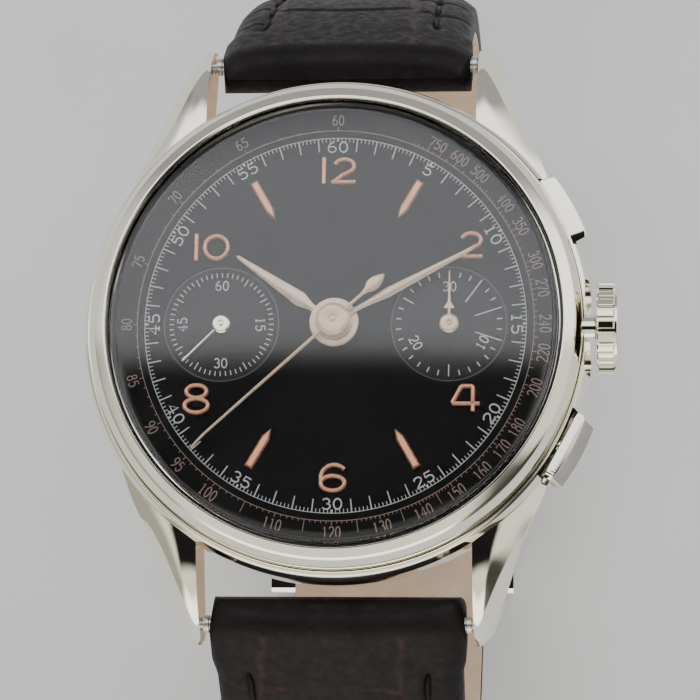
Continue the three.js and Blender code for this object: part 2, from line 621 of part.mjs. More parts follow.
function widen(geometry) {
  const position = geometry.attributes.position;
  for (let i = 0; i < position.count; i += 1) {
    const width = THREE.MathUtils.clamp(halfWidth(position.getZ(i)), STRAP_END_HALF, STRAP_TOP_HALF);
    position.setX(i, position.getX(i) * width);
  }
  return geometry;
}

function strapShort() {
  const { geometry } = strapHalf(SHORT_HALF, 1.1, 30);
  const solid = toSolid(widen(geometry))
    .add(toSolid(barX(2.05, -STRAP_TOP_HALF, STRAP_TOP_HALF, BAR_Y, BAR_HEIGHT, 16)))
    .add(toSolid(barX(1.1, -STRAP_END_HALF, STRAP_END_HALF, BUCKLE_BAR.y, BUCKLE_BAR.z, 12)));
  return carve(
    solid,
    barX(0.8, -12, 12, BAR_Y, BAR_HEIGHT, 12),
    barX(BUCKLE_BAR.r + 0.1, -12, 12, BUCKLE_BAR.y, BUCKLE_BAR.z, 12),
    block([-1.0, 1.0], [-7, -3.0], [2, 7]),
  );
}

function strapLong() {
  const { geometry, route, length } = strapHalf(LONG_HALF, 1.0, 36);
  const solid = toSolid(widen(geometry))
    .add(toSolid(barX(2.05, -STRAP_TOP_HALF, STRAP_TOP_HALF, -BAR_Y, BAR_HEIGHT, 16)));
  const tongueSlot = block([-0.9, 0.9], [-9.0, -6.1], [0, 6]);
  const cutters = [barX(0.8, -12, 12, -BAR_Y, BAR_HEIGHT, 12), tongueSlot];
  const used = length - 29.2; // arc length at the hole that holds the tongue
  for (const step of [-3, -2, -1, 1, 2, 3]) {
    const u = (used + step * HOLE_PITCH) / length;
    const at = route.getPointAt(u);
    const along = route.getTangentAt(u);
    const punch = new THREE.CylinderGeometry(0.8, 0.8, 6, 8).rotateX(Math.PI / 2);
    punch.rotateX(Math.atan2(along.z, along.y));
    cutters.push(punch.translate(0, at.y, at.z));
  }
  return carve(solid, ...cutters);
}

function springBar(sign) {
  const body = barX(0.65, -9.3, 9.3, sign * BAR_Y, BAR_HEIGHT, 12);
  const tips = barX(0.4, -10.6, 10.6, sign * BAR_Y, BAR_HEIGHT, 10);
  return toGeometry(join(body, tips));
}

function buckleFrame() {
  const side = outline([[-3.3, 3.8], [-3.3, 5.4], [-3.7, 5.7], [-5.6, 5.6], [-10.0, 2.0], [-11.5, 1.9], [-11.9, 1.5],
    [-11.7, 1.0], [-9.6, 0.9], [-5.0, 3.3], [-3.8, 3.5]].reverse());
  return carve(
    toSolid(slabX(side, -10.3, 10.3)),
    block([-8.6, 8.6], [-10.3, -2], [0, 8]),
    barX(BUCKLE_BAR.r + 0.1, -11, 11, BUCKLE_BAR.y, BUCKLE_BAR.z, 12),
  );
}

function buckleTongue() {
  const { y, z, r } = BUCKLE_BAR;
  const eye = barX(r + 0.45, -0.75, 0.75, y, z, 14);
  const blade = outline([[-4.7, 5.5], [-6.2, 5.1], [-7.2, 3.9], [-8.1, 1.9], [-8.9, 0.95], [-10.0, 0.75],
    [-11.9, 0.75], [-12.2, 0.45], [-11.9, 0.2], [-9.9, 0.2], [-8.6, 0.4], [-7.6, 1.5], [-6.6, 3.5], [-5.9, 4.4],
    [-4.9, 4.6]].reverse());
  return carve(join(eye, slabX(blade, -0.7, 0.7)), barX(r + 0.1, -2, 2, y, z, 12));
}

function keeper(centre) {
  const y = [centre - 2.5, centre + 2.5];
  return carve(block([-9.25, 9.25], y, [0, 6.9]), block([-8.35, 8.35], [y[0] - 1, y[1] + 1], [0.9, 6.0]));
}

// ---------- assembly ----------
add(watch, "mid_case", middleCase(), STEEL);
add(watch, "bezel", bezel(), STEEL);
add(watch, "crystal", crystal(), ACRYLIC);
add(watch, "case_back", caseBack(), SATIN);
add(watch, "dial", dial(), BLACK);
addMarkers();
addHands();
add(watch, "main_plate", mainPlate(), SATIN);
add(watch, "train_bridge", trainBridge(), SATIN);
add(watch, "balance_cock", balanceCock(), SATIN);
add(watch, "chronograph_bridge", chronographBridge(), SATIN);
addTrain();
addMotionWork();
addChronograph();
addWinding();
addPushers();
add(group, "strap_short", strapShort(), LEATHER);
add(group, "strap_long", strapLong(), LEATHER);
add(group, "spring_bar_12", springBar(1), SATIN);
add(group, "spring_bar_6", springBar(-1), SATIN);
add(group, "buckle_frame", buckleFrame(), STEEL);
add(group, "buckle_bar", barX(BUCKLE_BAR.r, -10.2, 10.2, BUCKLE_BAR.y, BUCKLE_BAR.z, 12), SATIN);
add(group, "buckle_tongue", buckleTongue(), STEEL);
add(group, "keeper_fixed", keeper(0), LEATHER);
add(group, "keeper_free", keeper(9.5), LEATHER);

export default group;
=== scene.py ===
"""Looks of the chronograph wristwatch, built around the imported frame. Lengths here are in millimetres."""
import json
import math

import bmesh
import bpy
from mathutils import Matrix, Vector


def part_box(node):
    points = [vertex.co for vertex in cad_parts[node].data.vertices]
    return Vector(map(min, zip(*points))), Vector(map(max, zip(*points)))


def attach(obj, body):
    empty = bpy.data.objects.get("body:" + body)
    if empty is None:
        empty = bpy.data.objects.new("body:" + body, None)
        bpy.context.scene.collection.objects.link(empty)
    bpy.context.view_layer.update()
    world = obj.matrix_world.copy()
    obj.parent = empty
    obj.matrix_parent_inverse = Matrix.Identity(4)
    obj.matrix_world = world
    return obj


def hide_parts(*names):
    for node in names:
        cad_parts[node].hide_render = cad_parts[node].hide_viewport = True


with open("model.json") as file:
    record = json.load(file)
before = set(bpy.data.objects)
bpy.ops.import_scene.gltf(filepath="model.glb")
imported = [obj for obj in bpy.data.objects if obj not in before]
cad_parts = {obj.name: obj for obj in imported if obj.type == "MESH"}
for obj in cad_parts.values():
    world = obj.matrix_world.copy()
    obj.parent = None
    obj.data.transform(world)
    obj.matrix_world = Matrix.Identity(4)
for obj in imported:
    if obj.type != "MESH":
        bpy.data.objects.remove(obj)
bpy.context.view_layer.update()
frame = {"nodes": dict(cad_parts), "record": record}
MM = 0.001

# ---------- sizes taken from the frame ----------


def low(node):
    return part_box(node)[0] / MM


def high(node):
    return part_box(node)[1] / MM


BACK_Z = low("case_back").z
DIAL_Z = high("dial").z
CASE_R = -low("mid_case").x
CRYSTAL_R = high("crystal").x
CRYSTAL_TOP = high("crystal").z
BAR_Y = (low("spring_bar_12").y + high("spring_bar_12").y) / 2
BAR_Z = (low("spring_bar_12").z + high("spring_bar_12").z) / 2
LUG_TIP_Y = high("mid_case").y
STEM_Z = (low("crown").z + high("crown").z) / 2
CROWN_R = (high("crown").z - low("crown").z) / 2
CROWN_X = (low("crown").x, high("crown").x)
REGISTER_X = (low("recorder_wheel").x + high("recorder_wheel").x) / 2
PUSH_Z = (low("start_pusher").z + high("start_pusher").z) / 2
PUSH_ANGLE = math.radians(28)
LUG_INNER = 9.9
SUNK = 0.1  # depth of the two registers below the dial
INK = 0.012  # thickness of printed ink
SEAT = 0.015  # height of the applied pieces' feet above the dial

# ---------- materials ----------


def shader(name, color, metallic=0.0, roughness=0.4, **sockets):
    """A material with one Principled shader; returns the material, its node tree and the shader."""
    material = bpy.data.materials.new(name)
    material.use_nodes = True
    tree = material.node_tree
    bsdf = tree.nodes["Principled BSDF"]
    bsdf.inputs["Base Color"].default_value = (*color, 1)
    bsdf.inputs["Metallic"].default_value = metallic
    bsdf.inputs["Roughness"].default_value = roughness
    for key, value in sockets.items():
        bsdf.inputs[key.replace("_", " ")].default_value = value
    return material, tree, bsdf


def noise(tree, scale, detail=3.0, stretch=(1, 1, 1)):
    """Noise in the object's own coordinates; returns its value socket."""
    place = tree.nodes.new("ShaderNodeTexCoord")
    mapping = tree.nodes.new("ShaderNodeMapping")
    mapping.inputs["Scale"].default_value = stretch
    texture = tree.nodes.new("ShaderNodeTexNoise")
    texture.inputs["Scale"].default_value = scale
    texture.inputs["Detail"].default_value = detail
    tree.links.new(place.outputs["Object"], mapping.inputs["Vector"])
    tree.links.new(mapping.outputs["Vector"], texture.inputs["Vector"])
    return texture.outputs["Fac"]


def ramp(tree, source, low_value, high_value):
    """Maps a 0..1 socket to a range of numbers."""
    node = tree.nodes.new("ShaderNodeMapRange")
    node.inputs["From Min"].default_value = 0.3
    node.inputs["From Max"].default_value = 0.7
    node.inputs["To Min"].default_value = low_value
    node.inputs["To Max"].default_value = high_value
    tree.links.new(source, node.inputs["Value"])
    return node.outputs["Result"]


def mix_colors(tree, source, first, second):
    node = tree.nodes.new("ShaderNodeMix")
    node.data_type = "RGBA"
    node.inputs["A"].default_value = (*first, 1)
    node.inputs["B"].default_value = (*second, 1)
    tree.links.new(source, node.inputs["Factor"])
    return node.outputs["Result"]


def bump(tree, bsdf, source, strength, distance):
    node = tree.nodes.new("ShaderNodeBump")
    node.inputs["Strength"].default_value = strength
    node.inputs["Distance"].default_value = distance
    tree.links.new(source, node.inputs["Height"])
    tree.links.new(node.outputs["Normal"], bsdf.inputs["Normal"])


# colour of the painted shade in the steel seams
SEAM_SHADE = (0.02, 0.019, 0.018)


def worn_groove(tree, tone, color):
    """Blends a colour in where the mesh's groove layer is above zero: painted shade in the steel seams, a
    worn colour in the leather's grooves.
    """
    groove = tree.nodes.new("ShaderNodeAttribute")
    groove.attribute_name = "groove"
    blend = tree.nodes.new("ShaderNodeMix")
    blend.data_type = "RGBA"
    blend.inputs["B"].default_value = (*color, 1)
    tree.links.new(groove.outputs["Fac"], blend.inputs["Factor"])
    tree.links.new(tone, blend.inputs["A"])
    return blend.outputs["Result"]


def metal(name, color, darker, glossy, rough, grain=4000, grain_depth=0.02, stretch=(1, 1, 1), metallic=1.0):
    """Polished or brushed metal with faint tarnish and fine wear, with painted shade where the groove layer
    says so.
    """
    material, tree, bsdf = shader(name, color, metallic=metallic)
    tone = mix_colors(tree, ramp(tree, noise(tree, 260), 0.0, 1.0), color, darker)
    # painted shade: a near-black colour where the groove layer marks a shadowed seam
    tone = worn_groove(tree, tone, SEAM_SHADE)
    tree.links.new(tone, bsdf.inputs["Base Color"])
    tree.links.new(ramp(tree, noise(tree, 900, 5), glossy, rough), bsdf.inputs["Roughness"])
    bump(tree, bsdf, noise(tree, grain, 2, stretch), grain_depth, 0.00002)
    return material


def leather(name, color, lighter, grain, gloss=0.16, worn=None):
    material, tree, bsdf = shader(name, color, roughness=0.5, Specular_IOR_Level=gloss)
    tone = mix_colors(tree, ramp(tree, noise(tree, 320, 6), 0.0, 1.0), color, lighter)
    if worn:
        tone = worn_groove(tree, tone, worn)
    tree.links.new(tone, bsdf.inputs["Base Color"])
    tree.links.new(ramp(tree, noise(tree, 1500, 4), 0.38, 0.62), bsdf.inputs["Roughness"])
    place = tree.nodes.new("ShaderNodeTexCoord")
    cells = tree.nodes.new("ShaderNodeTexVoronoi")
    cells.feature = "DISTANCE_TO_EDGE"
    cells.inputs["Scale"].default_value = grain
    tree.links.new(place.outputs["Object"], cells.inputs["Vector"])
    bump(tree, bsdf, cells.outputs["Distance"], 0.35, 0.0001)
    return material


def printed(name, color):
    """Pad-printed dial ink, slightly uneven."""
    material, tree, bsdf = shader(name, color, roughness=0.5)
    darker = tuple(0.8 * c for c in color)
    tree.links.new(mix_colors(tree, noise(tree, 3000), color, darker), bsdf.inputs["Base Color"])
    return material


def lacquer():
    """Deep black dial lacquer, almost smooth, with a soft sheen."""
    material, tree, bsdf = shader("black_lacquer", (0.006, 0.006, 0.007), Specular_IOR_Level=0.12)
    blotches = ramp(tree, noise(tree, 700, 8), 0.0, 1.0)
    tone = mix_colors(tree, blotches, (0.003, 0.003, 0.0034), (0.0055, 0.0055, 0.006))
    tree.links.new(tone, bsdf.inputs["Base Color"])
    tree.links.new(ramp(tree, noise(tree, 300, 6), 0.32, 0.46), bsdf.inputs["Roughness"])
    return material


def guilloche():
    """The turned floor of the small registers, glossier than the dial so that its rings catch the light."""
    black = (0.006, 0.006, 0.007)
    material, tree, bsdf = shader("turned_black", black, roughness=0.3, Specular_IOR_Level=0.24)
    blotches = ramp(tree, noise(tree, 900, 6), 0.0, 1.0)
    tone = mix_colors(tree, blotches, (0.0045, 0.0045, 0.005), (0.008, 0.008, 0.009))
    tree.links.new(tone, bsdf.inputs["Base Color"])
    return material


def acrylic():
    clear = {"roughness": 0.0, "Transmission_Weight": 1.0, "IOR": 1.45}
    material, tree, bsdf = shader("crystal_acrylic", (1, 1, 1), **clear)
    tint = mix_colors(tree, ramp(tree, noise(tree, 90), 0.0, 1.0), (1, 1, 1), (0.985, 0.99, 0.985))
    tree.links.new(tint, bsdf.inputs["Base Color"])
    return material


STEEL = metal("polished_steel", (0.92, 0.885, 0.765), (0.87, 0.835, 0.715), 0.05, 0.1)
MATT = metal("matt_steel", (0.50, 0.49, 0.46), (0.40, 0.39, 0.37), 0.42, 0.6, 6000, 0.3)
SATIN = metal("satin_steel", (0.66, 0.66, 0.64), (0.56, 0.56, 0.55), 0.26, 0.4, 1800, 0.12, (1, 12, 1))
BRASS = metal("gilt_brass", (0.80, 0.62, 0.30), (0.70, 0.52, 0.24), 0.22, 0.36, 2600, 0.08)
ROSE = metal("rose_gold", (1.0, 0.52, 0.32), (0.93, 0.42, 0.25), 0.22, 0.34, metallic=0.5)
HAND_GOLD = metal("pale_rose_gold", (1.0, 0.79, 0.59), (1.0, 0.73, 0.52), 0.22, 0.36, metallic=0.35)
BLUED = metal("blued_steel", (0.10, 0.16, 0.42), (0.16, 0.12, 0.36), 0.15, 0.25)
LACQUER = lacquer()
TURNED = guilloche()
ACRYLIC = acrylic()
LEATHER = leather("dark_leather", (0.0065, 0.0045, 0.0055), (0.0125, 0.0088, 0.0095), 1500, 0.16,
                  (0.034, 0.017, 0.014))
LINING = leather("tan_lining", (0.56, 0.41, 0.28), (0.66, 0.50, 0.36), 2200, 0.3)
THREAD = leather("thread", (0.007, 0.006, 0.0055), (0.016, 0.013, 0.011), 5000, 0.1)
WHITE_INK = printed("white_ink", (0.86, 0.87, 0.90))
ROSE_INK = printed("rose_ink", (0.52, 0.36, 0.30))
GREY_INK = printed("grey_ink", (0.20, 0.20, 0.21))

# ---------- mesh helpers ----------


def new_object(name, data):
    """A new object in the scene."""
    piece = bpy.data.objects.new(name, data)
    bpy.context.scene.collection.objects.link(piece)
    return piece


def mesh_from(name, verts, faces):
    mesh = bpy.data.meshes.new(name)
    mesh.from_pydata([tuple(c * MM for c in v) for v in verts], [], faces)
    return mesh


def make(name, verts, faces, body, slot, material, stands_for=(), sharp=30):
    """One closed or joined mesh from millimetre points, riding on a body."""
    piece = new_object(name, mesh_from(name, verts, faces))
    finish_piece(piece, body, material, stands_for, sharp)
    return piece


def finish_piece(piece, body, material, stands_for=(), sharp=30):
    mesh = piece.data
    edit = bmesh.new()
    edit.from_mesh(mesh)
    bmesh.ops.remove_doubles(edit, verts=edit.verts, dist=1e-7)
    bmesh.ops.recalc_face_normals(edit, faces=edit.faces)
    limit = math.radians(sharp)
    for face in edit.faces:
        face.smooth = True
    for edge in edit.edges:
        edge.smooth = len(edge.link_faces) == 2 and edge.calc_face_angle(0) < limit
    edit.to_mesh(mesh)
    edit.free()
    mesh.materials.clear()
    mesh.materials.append(material)
    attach(piece, body)
    if stands_for:
        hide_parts(*stands_for)


def shade_seams(piece, seams):
    """Fills the groove layer that paints shade into the steel: 1 where a point lies in one of the (r0, r1,
    z0, z1) channels.
    """
    values = []
    for vertex in piece.data.vertices:
        x, y, z = vertex.co / MM
        r = math.hypot(x, y)
        values.append(float(any(r0 < r < r1 and z0 < z - BACK_Z < z1 for r0, r1, z0, z1 in seams)))
    layer = piece.data.attributes.new("groove", "FLOAT", "POINT")
    layer.data.foreach_set("value", values)


def lathe(profile, segments=128, centre=(0, 0)):
    """Turns a closed [radius, z] loop about the vertical through centre. Points on the axis are shared."""
    verts, rings, faces = [], [], []
    for r, z in profile:
        if r < 1e-6:
            rings.append([len(verts)] * segments)
            verts.append((centre[0], centre[1], z))
            continue
        rings.append(list(range(len(verts), len(verts) + segments)))
        for i in range(segments):
            a = 2 * math.pi * i / segments
            verts.append((centre[0] + r * math.cos(a), centre[1] + r * math.sin(a), z))
    for k in range(len(profile)):
        one, two = rings[k], rings[(k + 1) % len(profile)]
        if one[0] == one[1] and two[0] == two[1]:
            continue
        for i in range(segments):
            j = (i + 1) % segments
            loop = [one[i], one[j], two[j], two[i]]
            faces.append(list(dict.fromkeys(loop)))
    return verts, faces


def rounded(points, steps=5):
    """Rounds the corners of a closed outline of (x, y, radius)."""
    out = []
    count = len(points)
    for k in range(count):
        x, y, radius = points[k]
        if radius <= 0:
            out.append((x, y))
            continue
        here = Vector((x, y))
        back = Vector(points[k - 1][:2]) - here
        ahead = Vector(points[(k + 1) % count][:2]) - here
        half = back.angle(ahead) / 2
        cut = min(radius / math.tan(half), 0.49 * back.length, 0.49 * ahead.length)
        start, end = here + back.normalized() * cut, here + ahead.normalized() * cut
        for i in range(steps + 1):
            t = i / steps
            out.append(tuple(start * (1 - t) ** 2 + here * 2 * t * (1 - t) + end * t * t))
    return out


def turned(outline, steps, segments):
    """A lathe solid from a rounded outline whose heights start at the case back."""
    return lathe([(r, BACK_Z + z) for r, z in rounded(outline, steps)], segments)


def walk(path, closed):
    """Each point of a flat path, with the direction across it to the left."""
    count = len(path)
    for i in range(count):
        before = Vector(path[i - 1] if closed or i else path[i])
        after = Vector(path[(i + 1) % count] if closed or i < count - 1 else path[i])
        along = (after - before).normalized()
        yield Vector(path[i]), Vector((-along.y, along.x))


def prism(outline, z0, z1):
    """A closed outline pushed up from z0 to z1."""
    count = len(outline)
    verts = [(x, y, z0) for x, y in outline] + [(x, y, z1) for x, y in outline]
    faces = [list(range(count - 1, -1, -1)), list(range(count, 2 * count))]
    faces += [[i, (i + 1) % count, count + (i + 1) % count, count + i] for i in range(count)]
    return verts, faces


def turn(verts, angle, centre=(0, 0), shift=(0, 0, 0)):
    """Turns points about the vertical, then shifts them."""
    c, s = math.cos(angle), math.sin(angle)
    out = []
    for x, y, z in verts:
        dx, dy = x - centre[0], y - centre[1]
        out.append((centre[0] + c * dx - s * dy + shift[0], centre[1] + s * dx + c * dy + shift[1],
                    z + shift[2]))
    return out


class Pile:
    """Collects the points and faces of many small solids for one mesh."""

    def __init__(self):
        self.verts, self.faces = [], []

    def add(self, solid):
        start = len(self.verts)
        self.verts += solid[0]
        self.faces += [[start + i for i in face] for face in solid[1]]
        return self


def sweep(sections, closed=False):
    """Skins equal-length rings of points; open runs get end faces."""
    size = len(sections[0])
    verts = [p for ring in sections for p in ring]
    faces = []
    last = len(sections) if closed else len(sections) - 1
    for k in range(last):
        a, b = k * size, ((k + 1) % len(sections)) * size
        faces += [[a + i, a + (i + 1) % size, b + (i + 1) % size, b + i] for i in range(size)]
    if not closed:
        faces.append(list(range(size - 1, -1, -1)))
        faces.append([(len(sections) - 1) * size + i for i in range(size)])
    return verts, faces


def join_boolean(base, cutters, operation="DIFFERENCE"):
    """Applies exact booleans with throw-away objects."""
    bpy.context.view_layer.update()
    for cutter in cutters:
        modifier = base.modifiers.new("cut", "BOOLEAN")
        modifier.object = cutter
        modifier.operation = operation
        modifier.solver = "EXACT"
    evaluated = base.evaluated_get(bpy.context.evaluated_depsgraph_get())
    mesh = bpy.data.meshes.new_from_object(evaluated)
    base.modifiers.clear()
    old = base.data
    base.data = mesh
    bpy.data.meshes.remove(old)
    for cutter in cutters:
        bpy.data.objects.remove(cutter)


def raw(name, solid):
    """An object without material or body, for booleans."""
    mesh = mesh_from(name, *solid)
    edit = bmesh.new()
    edit.from_mesh(mesh)
    bmesh.ops.recalc_face_normals(edit, faces=edit.faces)
    edit.to_mesh(mesh)
    edit.free()
    piece = new_object(name, mesh)
    return piece


def smooth(a, b, x):
    t = min(max((x - a) / (b - a), 0.0), 1.0)
    return t * t * (3 - 2 * t)


def clockwise(degrees):
    return -math.radians(degrees)


# ---------- camera ----------


def add_camera():
    """Close above the dial, a little towards 6 o'clock and the crown."""
    azimuth, tilt, roll = (math.radians(v) for v in (5.298, 11.721, 0.951))
    distance = 271.76
    aim = Vector((1.104, -1.872, DIAL_Z))
    level = math.cos(azimuth)
    back = Vector((math.sin(azimuth), -math.sin(tilt) * level, math.cos(tilt) * level))
    across = Vector((0, 1, 0)).cross(back).normalized()
    up = back.cross(across)
    right = across * math.cos(roll) + up * math.sin(roll)
    top = up * math.cos(roll) - across * math.sin(roll)
    data = bpy.data.cameras.new("camera")
    data.lens = 195
    data.sensor_width = 36
    data.clip_start = 0.01
    data.clip_end = 10
    camera = new_object("camera", data)
    matrix = Matrix((right, top, back.normalized())).transposed().to_4x4()
    matrix.translation = (aim + back.normalized() * distance) * MM
    camera.matrix_world = matrix
    bpy.context.scene.camera = camera


# ---------- case ----------


# Radius of the case at each height.
BARREL = [(1.25, 17.15), (2.3, 17.9), (3.8, 18.4), (5.2, 18.5), (6.5, 18.45), (7.4, 18.2)]


def lug_solid():
    """One lug at +X +Y: it grows out of the case's barrel and curves down to a thin rounded tip."""
    outer = [(10.0, 15.6), (12.3, 14.75), (15.1, 13.4), (17.9, 12.4), (20.3, 11.62), (21.6, 11.1),
             (22.1, 10.75), (LUG_TIP_Y, 10.4)]
    tops = [(10.0, 6.75), (15.0, 6.7), (17.0, 6.35), (18.8, 5.65), (20.4, 4.5), (21.6, 3.15), (22.05, 2.3),
            (LUG_TIP_Y, 1.5)]
    bottoms = [(10.0, 1.8), (15.0, 1.7), (17.0, 1.15), (18.8, 0.45), (20.6, -0.15), (21.5, -0.2),
               (LUG_TIP_Y, 0.9)]
    sections = []
    for k in range(33):
        y = 10.0 + (LUG_TIP_Y - 10.0) * (1 - (1 - k / 32) ** 1.4)
        edge, crest, base = interpolate(outer, y), interpolate(tops, y), interpolate(bottoms, y)
        inner = LUG_INNER + 0.3 * max(0.0, (y - 21.7) / 0.6) ** 2
        width, root = edge - inner, 1 - smooth(10.5, 17.5, y)
        shoulder = min(1.5, 0.45 * (crest - base))

        def flank(z):
            return edge - (CASE_R - interpolate(BARREL, z)) * root - 0.35 * (1 - smooth(base, base + 1.2, z))

        ring = [(inner, base + 0.15), (inner + 0.15, base), (flank(base) - 0.25, base)]
        for i in range(8):
            z = base + 0.2 + (crest - shoulder - base - 0.2) * i / 7
            ring.append((flank(z), z))
        for i in range(1, 13):
            a = i / 12
            ring.append((edge - width * a, crest - shoulder * (1 - a) ** 2.6 - 0.12 * a ** 8))
        sections.append([(x, y, BACK_Z + z) for x, z in ring])
    return sweep(sections)


def interpolate(table, x):
    """Smooth value between (x, value) pairs, by a cubic Hermite curve with averaged slopes."""
    if x <= table[0][0]:
        return table[0][1]
    if x >= table[-1][0]:
        return table[-1][1]
    slopes = [(b[1] - a[1]) / (b[0] - a[0]) for a, b in zip(table, table[1:])]
    for i in range(len(table) - 1):
        x0, y0 = table[i]
        x1, y1 = table[i + 1]
        if x > x1:
            continue
        first = slopes[i] if i == 0 else (slopes[i - 1] + slopes[i]) / 2
        last = slopes[i] if i == len(slopes) - 1 else (slopes[i] + slopes[i + 1]) / 2
        h, t = x1 - x0, (x - x0) / (x1 - x0)
        return ((2 * t ** 3 - 3 * t ** 2 + 1) * y0 + (t ** 3 - 2 * t ** 2 + t) * h * first
                + (3 * t ** 2 - 2 * t ** 3) * y1 + (t ** 3 - t ** 2) * h * last)


def cylinder_x(radius, x0, x1, y, z, sides=48):
    """A cylinder along X."""
    turns = [2 * math.pi * i / sides for i in range(sides)]
    return sweep([[(x, y + radius * math.cos(a), z + radius * math.sin(a)) for a in turns] for x in (x0, x1)])


def box_solid(x, y, z):
    return prism([(x[0], y[0]), (x[1], y[0]), (x[1], y[1]), (x[0], y[1])], z[0], z[1])


def add_case():
    outer = [
        (17.15, 1.25, 0.2), (17.9, 2.3, 0.6), (18.4, 3.8, 1.2), (CASE_R, 5.2, 1.2), (18.46, 6.5, 0.8),
        (18.2, 7.36, 0.3), (17.96, 7.5, 0.06), (17.84, 7.46, 0.03), (17.8, 7.1, 0.02), (17.45, 7.1, 0.02),
        (17.4, 7.9, 0.03), (16.0, 7.9, 0), (16.0, 7.45, 0), (15.5, 7.45, 0), (15.5, 1.25, 0),
    ]
    case = raw("case_middle", turned(outer, 6, 160))
    lug = lug_solid()
    lugs = []
    for sx in (1, -1):
        for sy in (1, -1):
            lugs.append(raw("lug", ([(sx * x, sy * y, z) for x, y, z in lug[0]], lug[1])))
    join_boolean(case, lugs, "UNION")
    cavity = raw("cavity", lathe([(0, BACK_Z), (15.5, BACK_Z), (15.5, BACK_Z + 7.45), (15.84, BACK_Z + 7.45),
                                  (16.05, BACK_Z + 8.0), (16.05, BACK_Z + 9), (0, BACK_Z + 9)], 160))
    cutters = [cavity, raw("recess", cylinder_x(3.5, 17.86, 20, 0, STEM_Z)),
               raw("tube_hole", cylinder_x(1.06, 14, 19, 0, STEM_Z))]
    for sy in (1, -1):
        cutters.append(raw("bar_hole", cylinder_x(0.5, -10.9, 10.9, sy * BAR_Y, BAR_Z, 24)))
        pocket = box_solid((16.9, 20), (-2.75, 2.75), (PUSH_Z - 1.25, PUSH_Z + 1.25))
        cutters.append(raw("pocket", (turn(pocket[0], sy * PUSH_ANGLE), pocket[1])))
    join_boolean(case, cutters)
    finish_piece(case, "root", STEEL, ["mid_case"], 24)
    # painted shade in the seam between the case and the bezel
    shade_seams(case, [(17.4, 17.83, 6.9, 7.42)])

    ring = [
        (16.2, 8.02, 0), (17.44, 8.02, 0), (17.48, 7.42, 0.03), (17.74, 7.42, 0.05), (17.79, 7.7, 0.2),
        (17.72, 8.75, 0.6), (17.25, 9.47, 0.8), (16.55, 9.86, 0.12), (16.46, 9.87, 0.03), (16.23, 9.6, 0.03),
        (16.2, 9.3, 0.02),
    ]
    bezel = make("bezel_ring", *turned(ring, 6, 192), "root", "polished_steel", STEEL, ["bezel"], 24)
    # painted shade on the bezel's inner wall, below its bright top chamfer
    shade_seams(bezel, [(16.0, 16.38, 7.9, 9.35)])

    back = [
        (0, 0, 0), (14.6, 0, 0.3), (16.5, 0.4, 0.8), (17.0, 0.85, 0.15), (17.0, 1.15, 0.05), (15.3, 1.15, 0),
        (15.3, 1.8, 0.05), (14.9, 1.8, 0.05), (14.9, 1.2, 0), (0, 1.2, 0),
    ]
    make("case_back_lid", *turned(back, 5, 128), "root", "satin_steel", SATIN, ["case_back"])


def dome(radius, shoulder, apex, count):
    """Points of a spherical cap from its rim to its top."""
    rise = apex - shoulder
    sphere = (radius * radius + rise * rise) / (2 * rise)
    out = []
    for i in range(count + 1):
        r = radius * (1 - i / count)
        out.append((r, apex - sphere + math.sqrt(sphere * sphere - r * r)))
    return out


def add_crystal():
    inside = CRYSTAL_R - 0.42
    outer = dome(CRYSTAL_R - 0.15, 9.75, CRYSTAL_TOP - BACK_Z, 24)
    inner = dome(inside - 0.1, 9.25, 11.1, 24)[::-1]
    loop = [(CRYSTAL_R, 8.16), (CRYSTAL_R, 9.55), (CRYSTAL_R - 0.04, 9.66)] + outer + inner
    loop += [(inside, 9.1), (inside, 8.16)]
    make("crystal_dome", *lathe([(r, BACK_Z + z) for r, z in loop], 160), "root", "acrylic_crystal", ACRYLIC,
         ["crystal"], 40)


# ---------- dial ----------


def curve_mesh(name, splines, z0, z1):
    """Fills closed outlines, the later ones being holes, between two heights; returns an object."""
    curve = bpy.data.curves.new(name, "CURVE")
    curve.dimensions = "2D"
    curve.fill_mode = "BOTH"
    curve.extrude = (z1 - z0) / 2 * MM
    for points in splines:
        spline = curve.splines.new("POLY")
        spline.points.add(len(points) - 1)
        for point, (x, y) in zip(spline.points, points):
            point.co = (x * MM, y * MM, 0, 1)
        spline.use_cyclic_u = True
    holder = new_object(name, curve)
    bpy.context.view_layer.update()
    mesh = bpy.data.meshes.new_from_object(holder.evaluated_get(bpy.context.evaluated_depsgraph_get()))
    bpy.data.objects.remove(holder)
    mesh.transform(Matrix.Translation((0, 0, (z0 + z1) / 2 * MM)))
    piece = new_object(name, mesh)
    return piece


def circle(radius, centre=(0, 0), count=128):
    turns = [2 * math.pi * i / count for i in range(count)]
    return [(centre[0] + radius * math.cos(a), centre[1] + radius * math.sin(a)) for a in turns]


REGISTER_R = 4.25


def add_dial():
    seats = [(-REGISTER_X, 0), (REGISTER_X, 0)]
    outlines = [circle(15.8), circle(1.3, count=48)] + [circle(REGISTER_R, s, 96) for s in seats]
    plate = curve_mesh("dial_plate", outlines, DIAL_Z - 0.4, DIAL_Z)
    finish_piece(plate, "root", LACQUER, ["dial"])
    for label, seat in zip(("seconds", "minutes"), seats):
        top = DIAL_Z - SUNK
        profile = [(0.3, top - 0.25), (REGISTER_R - 0.01, top - 0.25), (REGISTER_R - 0.01, top)]
        grooves = 26
        for i in range(grooves * 2, -1, -1):
            r = 0.3 + (3.3 - 0.3) * i / (grooves * 2)
            profile.append((r, top - (0.012 if i % 2 else 0)))
        make(f"register_{label}", *lathe(profile, 96, seat), "root", "black_lacquer", TURNED, (), 60)


def tick(pile, angle, r0, r1, width, centre, z, tip_width=None):
    """A printed mark along a radius; angle is clockwise from 12 o'clock."""
    half, end = width / 2, (tip_width or width) / 2
    solid = prism([(-half, r0), (half, r0), (end, r1), (-end, r1)], z, z + INK)
    pile.add((turn(solid[0], clockwise(angle), shift=(centre[0], centre[1], 0)), solid[1]))


